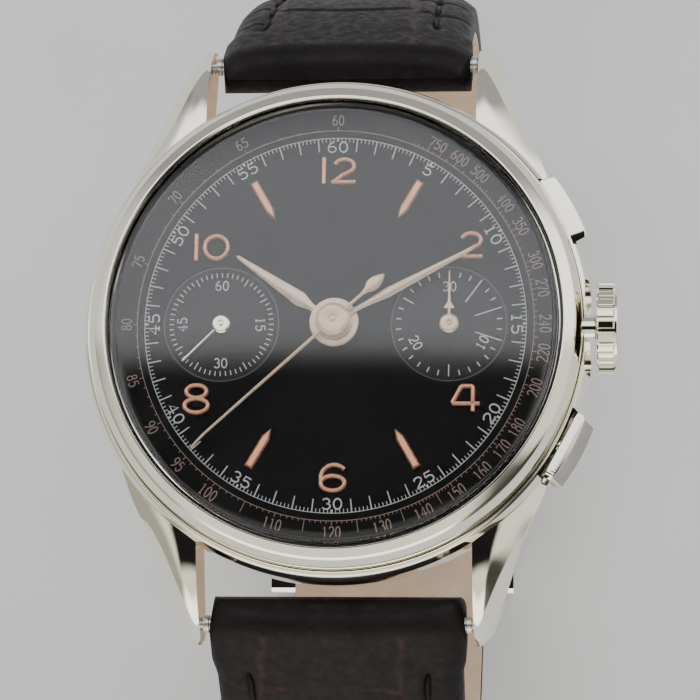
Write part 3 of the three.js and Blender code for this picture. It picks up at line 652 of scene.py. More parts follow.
def hoop(pile, radius, width, centre, z, count=180):
    rings = []
    for i in range(count):
        a = 2 * math.pi * i / count
        rings.append([(centre[0] + r * math.cos(a), centre[1] + r * math.sin(a), h)
                      for r, h in ((radius - width / 2, z), (radius + width / 2, z),
                                   (radius + width / 2, z + INK), (radius - width / 2, z + INK))])
    pile.add(sweep(rings, closed=True))


def arc(cx, cy, rx, ry, start, end, count=24):
    return [(cx + rx * math.cos(math.radians(start + (end - start) * i / count)),
             cy + ry * math.sin(math.radians(start + (end - start) * i / count))) for i in range(count + 1)]


def oval(cx, cy, rx, ry, count=28):
    return arc(cx, cy, rx, ry, 0, 360 * (1 - 1 / count), count - 1)


# Slab-footed figures one unit high about their own centre, each a list of (path, closed).
DIGITS = {
    "0": [(oval(0, 0, 0.25, 0.46), True)],
    "1": [([(-0.17, 0.3), (0, 0.44), (0, -0.46)], False), ([(-0.17, -0.46), (0.17, -0.46)], False)],
    "2": [(arc(0, 0.2, 0.25, 0.26, 165, -35, 16) + [(-0.26, -0.45)], False),
          ([(-0.28, -0.46), (0.27, -0.46), (0.27, -0.33)], False)],
    "3": [(arc(0, 0.22, 0.22, 0.24, 155, -85, 14), False), (arc(0, -0.21, 0.26, 0.25, 85, -155, 16), False)],
    "4": [([(0.1, -0.46), (0.1, 0.44), (-0.28, -0.17), (0.3, -0.17)], False),
          ([(-0.04, -0.46), (0.24, -0.46)], False)],
    "5": [([(0.22, 0.45), (-0.19, 0.45), (-0.21, 0.08)] + arc(0, -0.17, 0.26, 0.29, 130, -150, 18), False)],
    "6": [(oval(0, -0.2, 0.25, 0.26), True), (arc(0.16, -0.14, 0.41, 0.6, 188, 95, 12), False)],
    "7": [([(-0.26, 0.32), (-0.26, 0.45), (0.26, 0.45), (-0.06, -0.46)], False)],
    "8": [(oval(0, 0.23, 0.2, 0.22), True), (oval(0, -0.22, 0.25, 0.24), True)],
    "9": [(oval(0, 0.2, 0.25, 0.26), True), (arc(-0.16, 0.14, 0.41, 0.6, 8, -85, 12), False)],
}


def ribbon(path, width, z, closed):
    """A thin flat line of ink along a path."""
    rings = []
    for here, left in walk(path, closed):
        across = left * width / 2
        corners = ((here - across, z), (here + across, z), (here + across, z + INK), (here - across, z + INK))
        rings.append([(p.x, p.y, h) for p, h in corners])
    return sweep(rings, closed)


def figure(pile, text, size, place, angle, z, stretch=1.0, weight=0.1):
    """Printed figures of a height in mm, centred at a place and turned by an angle."""
    pitch = size * stretch * 0.74
    for k, digit in enumerate(text):
        shift = (k - (len(text) - 1) / 2) * pitch
        for path, closed in DIGITS[digit]:
            points = [(x * size * stretch + shift, y * size) for x, y in path]
            solid = ribbon(points, weight * size, z, closed)
            pile.add((turn(solid[0], angle, shift=(place[0], place[1], 0)), solid[1]))


def radial_figure(pile, text, size, angle, radius, centre, z, **style):
    """Figures on a circle: their tops point outwards above the centre line and inwards below it."""
    a = angle % 360
    spin = clockwise(a)
    if 91 < a < 269:
        spin += math.pi
    place = (centre[0] + radius * math.sin(math.radians(a)), centre[1] + radius * math.cos(math.radians(a)))
    figure(pile, text, size, place, spin, z, **style)


def add_print():
    white, rose, grey = Pile(), Pile(), Pile()
    top, sunk = DIAL_Z, DIAL_Z - SUNK
    middle = (0, 0)
    track = 13.7
    hoop(white, track - 0.03, 0.05, middle, top)
    for i in range(300):
        if i % 5:
            tick(white, i * 1.2, track - 0.32, track, 0.055, middle, top)
        elif i % 25:
            tick(white, i * 1.2, track - 1.0, track, 0.075, middle, top, 0.09)
    for minute in range(5, 65, 5):
        radial_figure(white, str(minute), 0.82, minute * 6, 13.0, middle, top, stretch=1.35, weight=0.13)
        tick(white, minute * 6, track - 0.28, track, 0.16, middle, top)
    base = 14.225
    hoop(rose, base, 0.05, middle, top)
    speeds = [(60, 150, 1, 5), (150, 200, 2, 10), (200, 300, 5, 10), (300, 500, 10, 50), (500, 1000, 50, 100)]
    for first, last, step, major in speeds:
        for v in range(first, last, step):
            long = v in (105, 115, 125, 135, 145)
            reach = 0.85 if long else (0.3 if v % major == 0 else 0.18)
            tick(rose, 21600 / v, base, base + reach, 0.05, middle, top)
    for v in [*range(60, 100, 5), *range(100, 190, 10), 200, 220, 240, 270, 300, 350, 400, 500, 600, 750]:
        radial_figure(rose, str(v), 0.78, 21600 / v, 15.0, middle, top, stretch=0.8, weight=0.1)
    seconds, minutes = (-REGISTER_X, 0), (REGISTER_X, 0)
    for centre in (seconds, minutes):
        hoop(grey, 4.12, 0.045, centre, sunk, 120)
    for i in range(60):
        tick(white, i * 6, 3.2 if i % 5 == 0 and i % 15 else 3.42, 3.76, 0.07, seconds, sunk)
    for value, angle in (("60", 0), ("15", 90), ("30", 180), ("45", 270)):
        radial_figure(white, value, 0.72, angle, 2.82, seconds, sunk, weight=0.12)
    for i in range(30):
        inner = {3: 1.95, 6: 1.95, 9: 1.95, 15: 2.95, 25: 2.95}.get(i, 3.42)
        outer = 3.95 if inner == 1.95 else 3.8
        tick(white, i * 12, inner, outer, 0.08, minutes, sunk)
    for value, angle in (("30", 0), ("10", 120), ("20", 240)):
        radial_figure(white, value, 0.72, angle, 2.72, minutes, sunk, weight=0.12)
    make("dial_print_white", white.verts, white.faces, "root", "black_lacquer", WHITE_INK)
    make("dial_print_rose", rose.verts, rose.faces, "root", "black_lacquer", ROSE_INK)
    make("dial_print_grey", grey.verts, grey.faces, "root", "black_lacquer", GREY_INK)


# ---------- applied figures and batons ----------


SHOULDERS = ((-1, 0), (-1, 0.55), (-0.72, 0.88), (-0.3, 1), (0.3, 1), (0.72, 0.88), (1, 0.55), (1, 0))


def stroke(path, width, height, closed=False):
    """A raised bar with sloping shoulders along a flat path."""
    rings = []
    for here, across in walk(path, closed):
        ring = []
        for side, z in SHOULDERS:
            p = here + across * side * width / 2
            ring.append((p.x, p.y, z * height))
        rings.append(ring)
    return sweep(rings, closed)


BAR = 0.31  # stroke width of the applied figures
APPLIED_H = 0.34


def figure_strokes(kind):
    """Strokes of an applied figure about its own centre, 2 mm high, as (path, closed)."""
    if kind == "one":
        return [([(0, -0.97), (0, 0.97)], False)]
    if kind == "zero":
        return [(arc(0, 0, 0.83, 0.83, 0, 350, 47), True)]
    if kind == "two":
        bowl = arc(0.03, 0.33, 0.68, 0.52, 165, -40, 24)
        return [(bowl + [(-0.1, -0.32), (-0.72, -0.83)], False), ([(-0.9, -0.84), (0.83, -0.84)], False)]
    if kind == "four":
        frame4 = [(-0.98, -0.42), (-0.3, 0.84), (0.52, 0.84), (0.52, -0.42)]
        foot, arm = [(0.52, -0.3), (0.52, -0.98)], [(0.4, -0.42), (1.0, -0.42)]
        return [(densify(frame4), True), (foot, False), (arm, False)]
    if kind == "six":
        bowl = arc(0, -0.4, 0.84, 0.53, 0, 350, 47)
        return [(bowl, True), (arc(0.1, 0.0, 0.94, 0.92, 190, 40, 26), False)]
    upper = arc(0, 0.52, 0.72, 0.46, 0, 350, 47)
    lower = arc(0, -0.5, 0.84, 0.5, 0, 350, 47)
    return [(upper, True), (lower, True)]


def densify(points):
    """Adds points close to each corner of a closed outline so that swept corners stay crisp."""
    out = []
    for i, point in enumerate(points):
        here, before, after = Vector(point), Vector(points[i - 1]), Vector(points[(i + 1) % len(points)])
        for other, near in ((before, 0.06), (after, 0.06)):
            out.append(tuple(here + (other - here).normalized() * near))
    return out


APPLIED = [
    ("numeral_12_1", "one"), ("numeral_12_2", "two"), ("numeral_2", "two"), ("numeral_4", "four"),
    ("numeral_6", "six"), ("numeral_8", "eight"), ("numeral_10_1", "one"), ("numeral_10_0", "zero"),
]


def add_applied():
    for node, kind in APPLIED:
        middle = (low(node) + high(node)) / 2
        pile = Pile()
        for path, closed in figure_strokes(kind):
            pile.add(stroke(path, BAR, APPLIED_H, closed))
        verts = [(x + middle.x, y + middle.y, z + DIAL_Z + SEAT) for x, y, z in pile.verts]
        make("applied_" + node, verts, pile.faces, "root", "rose_gold", ROSE, [node], 35)
    for hour in (1, 5, 7, 11):
        half = 0.3
        outline = [(-half, 12.0), (-half, 9.55), (0, 8.8), (half, 9.55), (half, 12.0)]
        edge = half * 0.62
        inset = [(-edge, 11.88), (-edge, 9.62), (0, 9.0), (edge, 9.62), (edge, 11.88)]
        verts = [(x, y, DIAL_Z + SEAT) for x, y in outline] + [(x, y, DIAL_Z + 0.22) for x, y in outline]
        verts += [(x, y, DIAL_Z + 0.36) for x, y in inset]
        faces = [[4, 3, 2, 1, 0], [10, 11, 12, 13, 14]]
        for k in (0, 5):
            faces += [[k + i, k + (i + 1) % 5, k + 5 + (i + 1) % 5, k + 5 + i] for i in range(5)]
        make(f"applied_baton_{hour}", turn(verts, clockwise(hour * 30)), faces, "root", "rose_gold", ROSE,
             [f"baton_{hour}"], 20)


# ---------- hands ----------


def blade(stations, z, thickness, dip=None):
    """A crowned blade along +Y through (distance, half width) stations; dip lowers it by distance."""
    rings = []
    for y, half in stations:
        drop = dip(y) if dip else 0
        ring = []
        for side, height in ((-1, 0), (-1, 0.45), (-0.7, 0.78), (0, 1), (0.7, 0.78), (1, 0.45), (1, 0)):
            ring.append((side * half, y, z + thickness * height - drop))
        rings.append(ring)
    return sweep(rings)


def boss(profile, segments=64):
    return lathe(rounded(profile, 4), segments)


def hand(name, solids, centre, angle, body, stands_for, slot="pale_gold", finish=None):
    pile = Pile()
    finish = finish or HAND_GOLD
    for solid in solids:
        pile.add(solid)
    verts = turn(pile.verts, clockwise(angle), shift=(centre[0], centre[1], 0))
    make(name, verts, pile.faces, body, slot, finish, [stands_for], 28)


def ring_boss(inner, outer, z0, z1, soft=0.06):
    return boss([(inner, z0, 0), (outer, z0, 0), (outer, z1, soft), (inner, z1, soft)])


def cap_boss(radius, pin, z0, z1):
    return boss([(0, z0, 0), (radius, z0, 0), (radius, z1 - 0.12, 0.08), (radius * 0.82, z1, 0.1),
                 (pin * 1.6, z1, 0.02), (pin * 1.5, z1 - 0.1, 0), (pin, z1 - 0.1, 0), (pin, z1 + 0.06, 0.03),
                 (0, z1 + 0.06, 0)])


def add_hands():
    z = DIAL_Z
    hour = [(0.9, 0.22), (1.9, 0.25), (2.2, 0.3), (2.95, 0.53), (3.05, 0.535), (8.45, 0.13), (8.6, 0.03)]
    hand("hand_hour", [blade(hour, z + 0.45, 0.13), ring_boss(0.92, 1.75, z + 0.43, z + 0.72)], (0, 0), 304.5,
         "hour", "hour_hand")
    minute = [(0.4, 0.14), (2.4, 0.18), (2.9, 0.21), (4.2, 0.345), (4.4, 0.35), (11.1, 0.12), (11.3, 0.03)]
    hand("hand_minute", [blade(minute, z + 0.95, 0.13), ring_boss(0.36, 1.28, z + 0.92, z + 1.16)], (0, 0),
         61.8, "minute", "minute_hand")

    def tip_drop(y):
        return 0.55 * max(0.0, (y - 12.2) / 1.35) ** 1.6

    arm = [(0.0, 0.13), (12.2, 0.087), (12.6, 0.085), (12.9, 0.08), (13.2, 0.078), (13.5, 0.075),
           (13.6, 0.03)]
    bulge = [(-4.9, 0.02), (-4.6, 0.22), (-4.05, 0.43), (-3.6, 0.42), (-3.15, 0.2), (-2.8, 0.12)]
    spots = [-4.9 + 2.1 * k / 16 for k in range(17)]
    tail = [(y, max(interpolate(bulge, y), 0.01)) for y in spots] + [(0.0, 0.13)]
    hand("hand_sweep", [blade(arm, z + 1.4, 0.12, tip_drop), blade(tail, z + 1.4, 0.12),
                        cap_boss(1.17, 0.2, z + 1.36, z + 1.85)], (0, 0), 227.7, "sweep", "sweep_hand")
    seconds = [(0.0, 0.1), (3.7, 0.12), (3.83, 0.1)]
    hand("hand_seconds", [blade(seconds, z + 0.09, 0.1), cap_boss(0.68, 0.13, z + 0.07, z + 0.28)],
         (-REGISTER_X, 0), 225, "seconds", "seconds_hand", "polished_steel", STEEL)
    recorder = [(0.0, 0.1), (1.08, 0.1), (1.1, 0.39), (1.55, 0.12), (1.7, 0.1), (3.6, 0.06), (3.87, 0.03)]
    hand("hand_recorder", [blade(recorder, z + 0.09, 0.1), cap_boss(0.7, 0.13, z + 0.07, z + 0.28)],
         (REGISTER_X, 0), 0, "recorder", "recorder_hand")


# ---------- crown and pushers ----------


def along_x(solid, z):
    """Lays a solid made about +Z along +X at a height."""
    return [(vz, vy, z - vx) for vx, vy, vz in solid[0]], solid[1]


def add_crown():
    teeth, x0, x1 = 24, CROWN_X[0], CROWN_X[1] - 0.5
    fine = 12
    rings = []
    for depth, scale, cut in ((0.0, 0.95, 0.6), (0.1, 1.0, 1.0), (1.14, 1.0, 1.0), (1.26, 0.955, 0.5)):
        ring = []
        for i in range(teeth * fine):
            a = 2 * math.pi * i / (teeth * fine)
            side = abs((i % fine) / fine - 0.5) * 2
            radius = (CROWN_R - 0.34 * cut * smooth(0.55, 0.85, side)) * scale
            ring.append((math.cos(a) * radius, math.sin(a) * radius, x0 + depth))
        rings.append(ring)
    pile = Pile().add(along_x(sweep(rings), STEM_Z))
    cap = [(0, x1 - 0.05, 0), (3.02, x1 - 0.05, 0), (3.02, x1 + 0.12, 0.1), (2.75, x1 + 0.3, 0.2),
           (1.2, x1 + 0.46, 0.8), (0, CROWN_X[1], 0)]
    pile.add(along_x(lathe(rounded(cap, 5), 96), STEM_Z))
    make("crown_knob", pile.verts, pile.faces, "crown", "polished_steel", STEEL, ["crown"], 30)
    tube = [(0.65, 15.6, 0), (0.98, 15.6, 0), (0.98, 18.65, 0.1), (0.65, 18.65, 0)]
    sleeve = along_x(lathe(rounded(tube, 3), 48), STEM_Z)
    make("crown_sleeve", *sleeve, "root", "polished_steel", STEEL, ["crown_tube"])


def add_pusher(node, name, face, sign, ribbed):
    """A bowed rectangular cap on a round stem; the ribbed one has lined flanks and a slanted matt face."""
    half_l, half_h, steps = 2.6, 1.1, 16
    bow, slant = 0.22, (0.72 if ribbed else 0.0)
    rings = []
    for k in range(steps + 1):
        y = -half_l + 2 * half_l * k / steps
        end = 1 - smooth(0, 0.2, half_l - abs(y))
        front = face - bow * (y / half_l) ** 2 - 0.12 * end
        height = half_h - 0.1 * end
        section = [(face - 1.6, height - 0.1, 0.05), (face - 1.5, height, 0.05),
                   (front - 0.12 - slant, height, 0.05), (front - slant * 0.93, height - 0.12, 0.05),
                   (front, 0.12 - height, 0.12), (front - 0.12, -height, 0.12),
                   (face - 1.5, -height, 0.05), (face - 1.6, 0.1 - height, 0.05)]
        rings.append([(x, y, PUSH_Z + z) for x, z in rounded(section, 2)])
    pile = Pile().add(sweep(rings))
    ribs = 22 if ribbed else 0
    for i in range(ribs):
        y = -half_l + 0.25 + (2 * half_l - 0.5) * i / (ribs - 1)
        for side in (-1, 1):
            low_z, high_z = sorted((PUSH_Z + side * (half_h - 0.05), PUSH_Z + side * (half_h + 0.06)))
            pile.add(box_solid((face - 1.45, face - 0.9), (y - 0.055, y + 0.055), (low_z, high_z)))
    pile.add(cylinder_x(0.55, 14.8, face - 1.3, 0, PUSH_Z, 32))
    make(name, turn(pile.verts, sign * PUSH_ANGLE), pile.faces, node, "polished_steel", STEEL, [node], 30)
    if not ribbed:
        return
    plate = []
    for k in range(steps + 1):
        y = (half_l - 0.22) * (2 * k / steps - 1)
        front = face - bow * (y / half_l) ** 2
        top, bottom = (front - slant * 0.86, 0.86), (front - slant * 0.07, -0.86)
        plate.append([(x, y, PUSH_Z + z) for x, z in ((top[0] - 0.08, top[1]), (bottom[0] - 0.08, bottom[1]),
                                                     (bottom[0] + 0.04, bottom[1]), (top[0] + 0.04, top[1]))])
    solid = sweep(plate)
    make(name + "_face", turn(solid[0], sign * PUSH_ANGLE), solid[1], node, "satin_steel", MATT, (), 30)


# ---------- strap ----------
SHORT_HALF = [
    (BAR_Y, BAR_Z), (23.7, 45.6), (26.5, 41.0), (29.0, 35.0), (30.0, 27.0), (28.9, 18.8), (25.3, 11.8),
    (20.0, 7.1), (14.0, 4.85), (8.0, 4.6), (2.0, 4.6), (-4.5, 4.6),
]
LONG_HALF = [
    (-BAR_Y, BAR_Z), (-24.8, 45.4), (-28.2, 40.6), (-30.2, 34.0), (-30.4, 26.0), (-28.6, 18.0), (-24.4, 11.2),
    (-18.4, 6.4), (-11.0, 3.5), (-5.0, 2.3), (1.0, 2.2), (8.0, 2.2), (14.0, 2.45), (17.6, 3.4), (20.6, 4.8),
]
STRAP_TOP_HALF, STRAP_END_HALF = 9.3, 8.0
ROLL_R = 2.03
ROLL_EDGE = 0.85  # how far the ends of the roll are rounded off
SEAM_INSET = 2.5
PAD_HALF = 1.95  # half the strap's thickness beside the case


class Route:
    """A smooth line through (y, z) points, by centripetal Catmull-Rom, walked by arc length."""

    def __init__(self, points, fine=24):
        pts = [Vector(p) for p in points]
        pts = [pts[0] * 2 - pts[1]] + pts + [pts[-1] * 2 - pts[-2]]
        self.line = []
        for i in range(1, len(pts) - 2):
            knots = [0.0]
            for a, b in zip(pts[i - 1:i + 2], pts[i:i + 3]):
                knots.append(knots[-1] + (b - a).length ** 0.5)
            for k in range(fine):
                t = knots[1] + (knots[2] - knots[1]) * k / fine
                self.line.append(self.spot(pts[i - 1:i + 3], knots, t))
        self.line.append(pts[-2])
        self.walk = [0.0]
        for a, b in zip(self.line, self.line[1:]):
            self.walk.append(self.walk[-1] + (b - a).length)
        self.length = self.walk[-1]

    @staticmethod
    def spot(p, k, t):
        def blend(a, b, ka, kb):
            return a * ((kb - t) / (kb - ka)) + b * ((t - ka) / (kb - ka))
        a1, a2, a3 = (blend(p[j], p[j + 1], k[j], k[j + 1]) for j in range(3))
        b1, b2 = blend(a1, a2, k[0], k[2]), blend(a2, a3, k[1], k[3])
        return blend(b1, b2, k[1], k[2])

    def at(self, s):
        """(point, direction) at an arc length."""
        s = min(max(s, 0.0), self.length)
        hi = next((i for i, w in enumerate(self.walk) if w >= s and i), len(self.walk) - 1)
        lo = hi - 1
        span = self.walk[hi] - self.walk[lo]
        t = (s - self.walk[lo]) / span if span else 0
        ahead = self.line[min(hi + 1, len(self.line) - 1)] - self.line[max(lo - 1, 0)]
        return self.line[lo].lerp(self.line[hi], t), ahead.normalized()


def scale_relief(x, s, seed):
    """Depth of the embossed scales: two wavy long grooves, and cross grooves between and beside them."""
    left = -5.6 + 0.25 * math.sin(s * 0.31 + seed)
    right = 4.7 + 0.3 * math.sin(s * 0.27 + 1.3 + seed)

    def groove(d, width):
        return math.exp(-(d / width) ** 2)

    depth = max(groove(x - left, 0.17), groove(x - right, 0.17))
    if s < 4.2:
        return depth
    if left < x < right:
        bow = 0.9 * (1 - ((x - (left + right) / 2) / 5.2) ** 2)
        phase = (s + bow + seed * 1.7) % 8.4
        depth = max(depth, groove(min(phase, 8.4 - phase), 0.2))
    else:
        side = 1 if x > 0 else 2
        phase = (s + side * 1.9 + 0.25 * math.sin(x * 2)) % 4.1
        depth = max(depth, 0.8 * groove(min(phase, 4.1 - phase), 0.16))
    return depth


def half_width(z, s, length, pointed):
    """Strap half width: even taper, a narrower body after the end roll, and a rounded tail."""
    t = min(max((BAR_Z - z) / (BAR_Z - 6), 0.0), 1.0)
    width = STRAP_TOP_HALF + (STRAP_END_HALF - STRAP_TOP_HALF) * t
    width -= 0.32 * smooth(2.4, 4.2, s) * (1 - t)
    if pointed and length - s < 9:
        width *= math.sqrt(max(1 - (1 - (length - s) / 9) ** 2.2, 0.004))
    return width


def half_thickness(s, end_half):
    """The padding thins out from the case towards the buckle."""
    return PAD_HALF + (end_half - PAD_HALF) * smooth(6, 48, s)


def outer_surface(u, s, half):
    """Height of the outer side above the centre line, u running from -1 to 1 across the strap."""
    crown = 0.35 * (1 - smooth(20, 60, s))
    return half - crown * u * u - abs(u) ** 9 * min(0.95, half * 0.7)


def add_strap(name, points, sign, end_half, nodes, pointed, seed):
    """Padded leather over a tan lining, with sewn edges. sign is +1 where the outer side is on the left."""
    route = Route(points)
    length = route.length
    lining = 0.55
    steps = 330
    upper, under, shade = [], [], []
    stations = [(-ROLL_R * math.cos(a), math.sin(a)) for a in (0.12, 0.3, 0.5, 0.7, 0.9, 1.1, 1.3, 1.45)]
    stations += [(length * k / steps, None) for k in range(steps + 1)]
    columns = 56
    for s, nose in stations:
        here, along = route.at(s)
        if s < 0:
            here = here + along * s
        outward = Vector((-along.y, along.x)) * sign
        half = half_thickness(max(s, 0), end_half) * (1 if nose is None else nose)
        z_level = here.y if s > 0 else BAR_Z
        width = half_width(z_level, s, length, pointed)
        if s < 0.9:
            width -= ROLL_EDGE * (1 - math.sqrt(max(1 - ((0.9 - s) / (0.9 + ROLL_R)) ** 2, 0.0)))
        ring = []
        for i in range(columns + 1):
            u = -1 + 2 * i / columns
            x = u * width
            rise = outer_surface(u, s, half)
            groove = 0.0
            if nose is None:
                groove = scale_relief(x, s, seed) * min(1.0, (1 - abs(u)) * 12)
                rise -= (0.08 + 0.16 * smooth(2.5, 6, s)) * groove
                seam = abs(abs(x) - (width - SEAM_INSET))
                rise -= 0.34 * math.exp(-(seam / 0.32) ** 2) * smooth(2.6, 3.4, s)
            shade.append(groove)
            ring.append((x, rise))
        inner = -half + (lining if nose is None else 0)
        ring += [(width, inner), (-width, inner)]
        shade += [0.0, 0.0]
        upper.append([(x, here.x + outward.x * h, here.y + outward.y * h) for x, h in ring])
        if nose is None:
            lw = width - 0.06
            under.append([(x, here.x + outward.x * h, here.y + outward.y * h)
                          for x, h in ((-lw, inner), (lw, inner), (lw, -half + 0.12), (lw - 0.15, -half),
                                       (-lw + 0.15, -half), (-lw, -half + 0.12))])
    piece = make(name + "_upper", *sweep(upper), "root", "dark_leather", LEATHER, nodes, 50)
    layer = piece.data.attributes.new("groove", "FLOAT", "POINT")
    layer.data.foreach_set("value", shade)
    make(name + "_lining", *sweep(under), "root", None, LINING, (), 50)
    add_stitches(name, route, sign, end_half, pointed)


def add_stitches(name, route, sign, end_half, pointed):
    """Rows of thread along both edges, each stitch a small bent capsule sunk into its groove."""
    pile = Pile()
    pitch, stitch = 3.5, 2.9
    last = route.length - (7.5 if pointed else 5.0)
    for side in (-1, 1):
        s = 3.1
        while s + stitch < last:
            rings = []
            for k in range(9):
                t = k / 8
                here, along = route.at(s + stitch * t)
                outward = Vector((-along.y, along.x)) * sign
                width = half_width(here.y, s + stitch * t, route.length, False)
                half = half_thickness(s, end_half)
                x = side * (width - SEAM_INSET)
                surface = outer_surface(x / width, s, half)
                radius = 0.24 * math.sqrt(max(1 - (2 * t - 1) ** 4, 0.02))
                middle = surface - 0.24 - 0.2 * (2 * t - 1) ** 4
                rings.append([(x + radius * 0.85 * math.cos(2 * math.pi * i / 8),
                               here.x + outward.x * (middle + radius * math.sin(2 * math.pi * i / 8)),
                               here.y + outward.y * (middle + radius * math.sin(2 * math.pi * i / 8)))
                              for i in range(8)])
            pile.add(sweep(rings))
            s += pitch
    make(name + "_stitching", pile.verts, pile.faces, "root", "dark_leather", THREAD, (), 60)


def add_keeper(node, name, body):
    """A leather loop with rounded corners and soft edges."""
    lo, hi = low(node), high(node)
    wall = 0.9
    corner = [(hi.x, lo.z, 1.2), (hi.x, hi.z, 1.2), (lo.x, hi.z, 1.2), (lo.x, lo.z, 1.2)]
    path = rounded(corner, 10)
    dense = []
    for i, point in enumerate(path):
        after = Vector(path[(i + 1) % len(path)])
        here = Vector(point)
        cuts = max(1, int((after - here).length / 1.0))
        dense += [here.lerp(after, k / cuts) for k in range(cuts)]
    rings = []
    count = len(dense)
    half = (hi.y - lo.y) / 2
    section = [(-half, 0.25), (-half + 0.2, 0.03), (0, 0.0), (half - 0.2, 0.03), (half, 0.25),
               (half, wall - 0.15), (half - 0.15, wall), (-half + 0.15, wall), (-half, wall - 0.15)]
    for i in range(count):
        along = (dense[(i + 1) % count] - dense[i - 1]).normalized()
        inward = Vector((-along.y, along.x))
        rings.append([(dense[i].x + inward.x * d, (lo.y + hi.y) / 2 + y, dense[i].y + inward.y * d)
                      for y, d in section])
    make(name, *sweep(rings, closed=True), body, "dark_leather", LEATHER, [node], 50)


def add_spring_bars():
    for node, name in (("spring_bar_12", "bar_upper"), ("spring_bar_6", "bar_lower")):
        middle = (low(node) + high(node)) / 2
        end = high(node).x
        profile = [(0, -end), (0.3, -end), (0.38, -end + 0.1), (0.38, -9.75), (0.62, -9.7), (0.65, -9.6),
                   (0.65, -9.35), (0.55, -9.3), (0.55, -9.1), (0.65, -9.05)]
        profile += [(r, -x) for r, x in profile[::-1]]
        solid = lathe(profile, 40)
        verts = [(vz, vy + middle.y, middle.z - vx) for vx, vy, vz in solid[0]]
        make(name, verts, solid[1], "root", "satin_steel", SATIN, [node])


# ---------- CAD nodes that stay ----------
FINISHES = {
    "polished_steel": STEEL, "satin_steel": SATIN, "brass": BRASS, "rose_gold": ROSE, "pale_gold": HAND_GOLD,
    "blued_steel": BLUED, "black_lacquer": LACQUER, "acrylic_crystal": ACRYLIC, "dark_leather": LEATHER,
}


def dress_nodes():
    """Gives every CAD node the finish of its slot."""
    slots = {s["node"]: s["material_slot"] for s in frame["record"]["subparts"]}
    for name, node in frame["nodes"].items():
        node.data.materials.clear()
        node.data.materials.append(FINISHES[slots[name]])
        for face in node.data.polygons:
            face.use_smooth = False


def add_buckle():
    """Own copies of the buckle's parts with softened edges."""
    for name, body in (("buckle_frame", "root"), ("buckle_tongue", "tongue"), ("buckle_bar", "root")):
        node = frame["nodes"][name]
        piece = new_object("polished_" + name, node.data.copy())
        piece.data.transform(node.matrix_world)
        edit = bmesh.new()
        edit.from_mesh(piece.data)
        bmesh.ops.remove_doubles(edit, verts=edit.verts, dist=1e-6)
        bmesh.ops.dissolve_limit(edit, angle_limit=math.radians(1), verts=edit.verts, edges=edit.edges)
        edges = [e for e in edit.edges if len(e.link_faces) == 2 and e.calc_face_angle(0) > math.radians(25)]
        width = (0.2 if name == "buckle_frame" else 0.1) * MM
        bmesh.ops.bevel(edit, geom=edges, offset=width, segments=3, profile=0.5, affect="EDGES",
                        clamp_overlap=True)
        bmesh.ops.triangulate(edit, faces=[f for f in edit.faces if len(f.verts) > 4])
        edit.to_mesh(piece.data)
        edit.free()
        finish_piece(piece, body, STEEL, [name], 24)


# ---------- floor, light ----------


def add_stage():
    mesh = bpy.data.meshes.new("floor")
    size = 3.0
    corners = [(-size, -size, 0), (size, -size, 0), (size, size, 0), (-size, size, 0)]
    mesh.from_pydata(corners, [], [[0, 1, 2, 3]])
    floor = new_object("floor", mesh)
    material, tree, bsdf = shader("floor_paint", (0.80, 0.81, 0.82), roughness=0.7)
    tone = mix_colors(tree, noise(tree, 60, 4), (0.77, 0.78, 0.79), (0.84, 0.85, 0.86))
    tree.links.new(tone, bsdf.inputs["Base Color"])
    mesh.materials.append(material)


def soft_step(tree, source, start, end):
    node = tree.nodes.new("ShaderNodeMapRange")
    node.interpolation_type = "SMOOTHSTEP"
    node.inputs["From Min"].default_value = start
    node.inputs["From Max"].default_value = end
    tree.links.new(source, node.inputs["Value"])
    return node.outputs["Result"]


def region(tree, *limits):
    """1 inside every (direction socket, start, end) limit of the room, with soft edges."""
    inside = soft_step(tree, *limits[0])
    for limit in limits[1:]:
        node = tree.nodes.new("ShaderNodeMath")
        node.operation = "MULTIPLY"
        node.use_clamp = True
        tree.links.new(inside, node.inputs[0])
        tree.links.new(soft_step(tree, *limit), node.inputs[1])
        inside = node.outputs[0]
    return inside


def multiply(tree, first, second):
    node = tree.nodes.new("ShaderNodeMix")
    node.data_type = "RGBA"
    node.blend_type = "MULTIPLY"
    node.inputs["Factor"].default_value = 1.0
    tree.links.new(first, node.inputs["A"])
    tree.links.new(second, node.inputs["B"])
    return node.outputs["Result"]


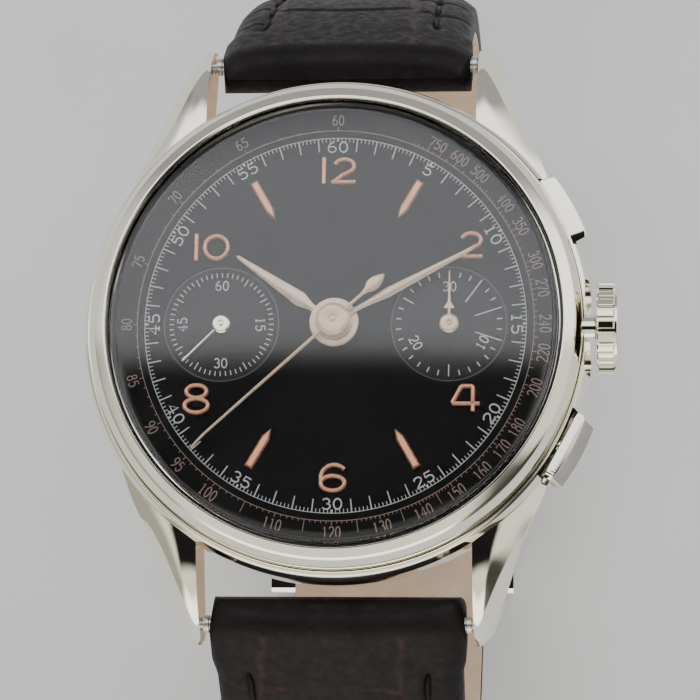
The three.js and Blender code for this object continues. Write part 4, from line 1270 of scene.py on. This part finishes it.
def add_light():
    """A pale room, brighter towards 12 o'clock and dark overhead, where a camera would be."""
    world = bpy.data.worlds.new("room")
    bpy.context.scene.world = world
    world.use_nodes = True
    tree = world.node_tree
    direction = tree.nodes.new("ShaderNodeTexCoord")
    split = tree.nodes.new("ShaderNodeSeparateXYZ")
    tree.links.new(direction.outputs["Generated"], split.inputs[0])
    x, y, z = split.outputs
    ceiling = soft_step(tree, y, 0.07, 0.19)
    patch = region(tree, (y, -0.52, -0.36), (y, 0.14, 0.07), (x, -0.78, -0.62), (x, 0.66, 0.5), (z, 0.3, 0.5))
    wall = region(tree, (y, 0.5, 0.74), (z, 0.82, 0.6))
    shade_low = region(tree, (x, 0.45, 0.6), (y, -0.28, -0.42), (z, 0.85, 0.6))
    pale = mix_colors(tree, ceiling, (1.15, 1.12, 1.03), (2.1, 2.12, 2.2))
    walled = mix_colors(tree, wall, (1, 1, 1), (0.2, 0.2, 0.195))
    left = region(tree, (x, -0.55, -0.8), (z, 0.6, 0.3))
    front = region(tree, (y, -0.55, -0.8), (z, 0.6, 0.35))
    sides = multiply(tree, mix_colors(tree, left, (1, 1, 1), (0.4, 0.4, 0.39)),
                     mix_colors(tree, front, (1, 1, 1), (2.4, 2.35, 2.25)))
    low_corner = mix_colors(tree, shade_low, (1, 1, 1), (0.06, 0.06, 0.06))
    room = multiply(tree, multiply(tree, pale, walled), multiply(tree, sides, low_corner))
    overhead = mix_colors(tree, patch, (1, 1, 1), (0.012, 0.012, 0.013))
    tree.links.new(multiply(tree, room, overhead), tree.nodes["Background"].inputs["Color"])
    tree.nodes["Background"].inputs["Strength"].default_value = 1.0


add_camera()
dress_nodes()
add_case()
add_crystal()
add_dial()
add_print()
add_applied()
add_hands()
add_crown()
add_pusher("start_pusher", "pusher_start", 19.3, 1, False)
add_pusher("reset_pusher", "pusher_reset", 19.85, -1, True)
add_strap("strap_12", SHORT_HALF, 1, 1.1, ["strap_short"], False, 0.4)
add_strap("strap_6", LONG_HALF, -1, 1.0, ["strap_long"], True, 2.1)
add_keeper("keeper_fixed", "keeper_sewn", "root")
add_keeper("keeper_free", "keeper_loose", "keeper_free")
add_spring_bars()
add_buckle()
add_stage()
add_light()
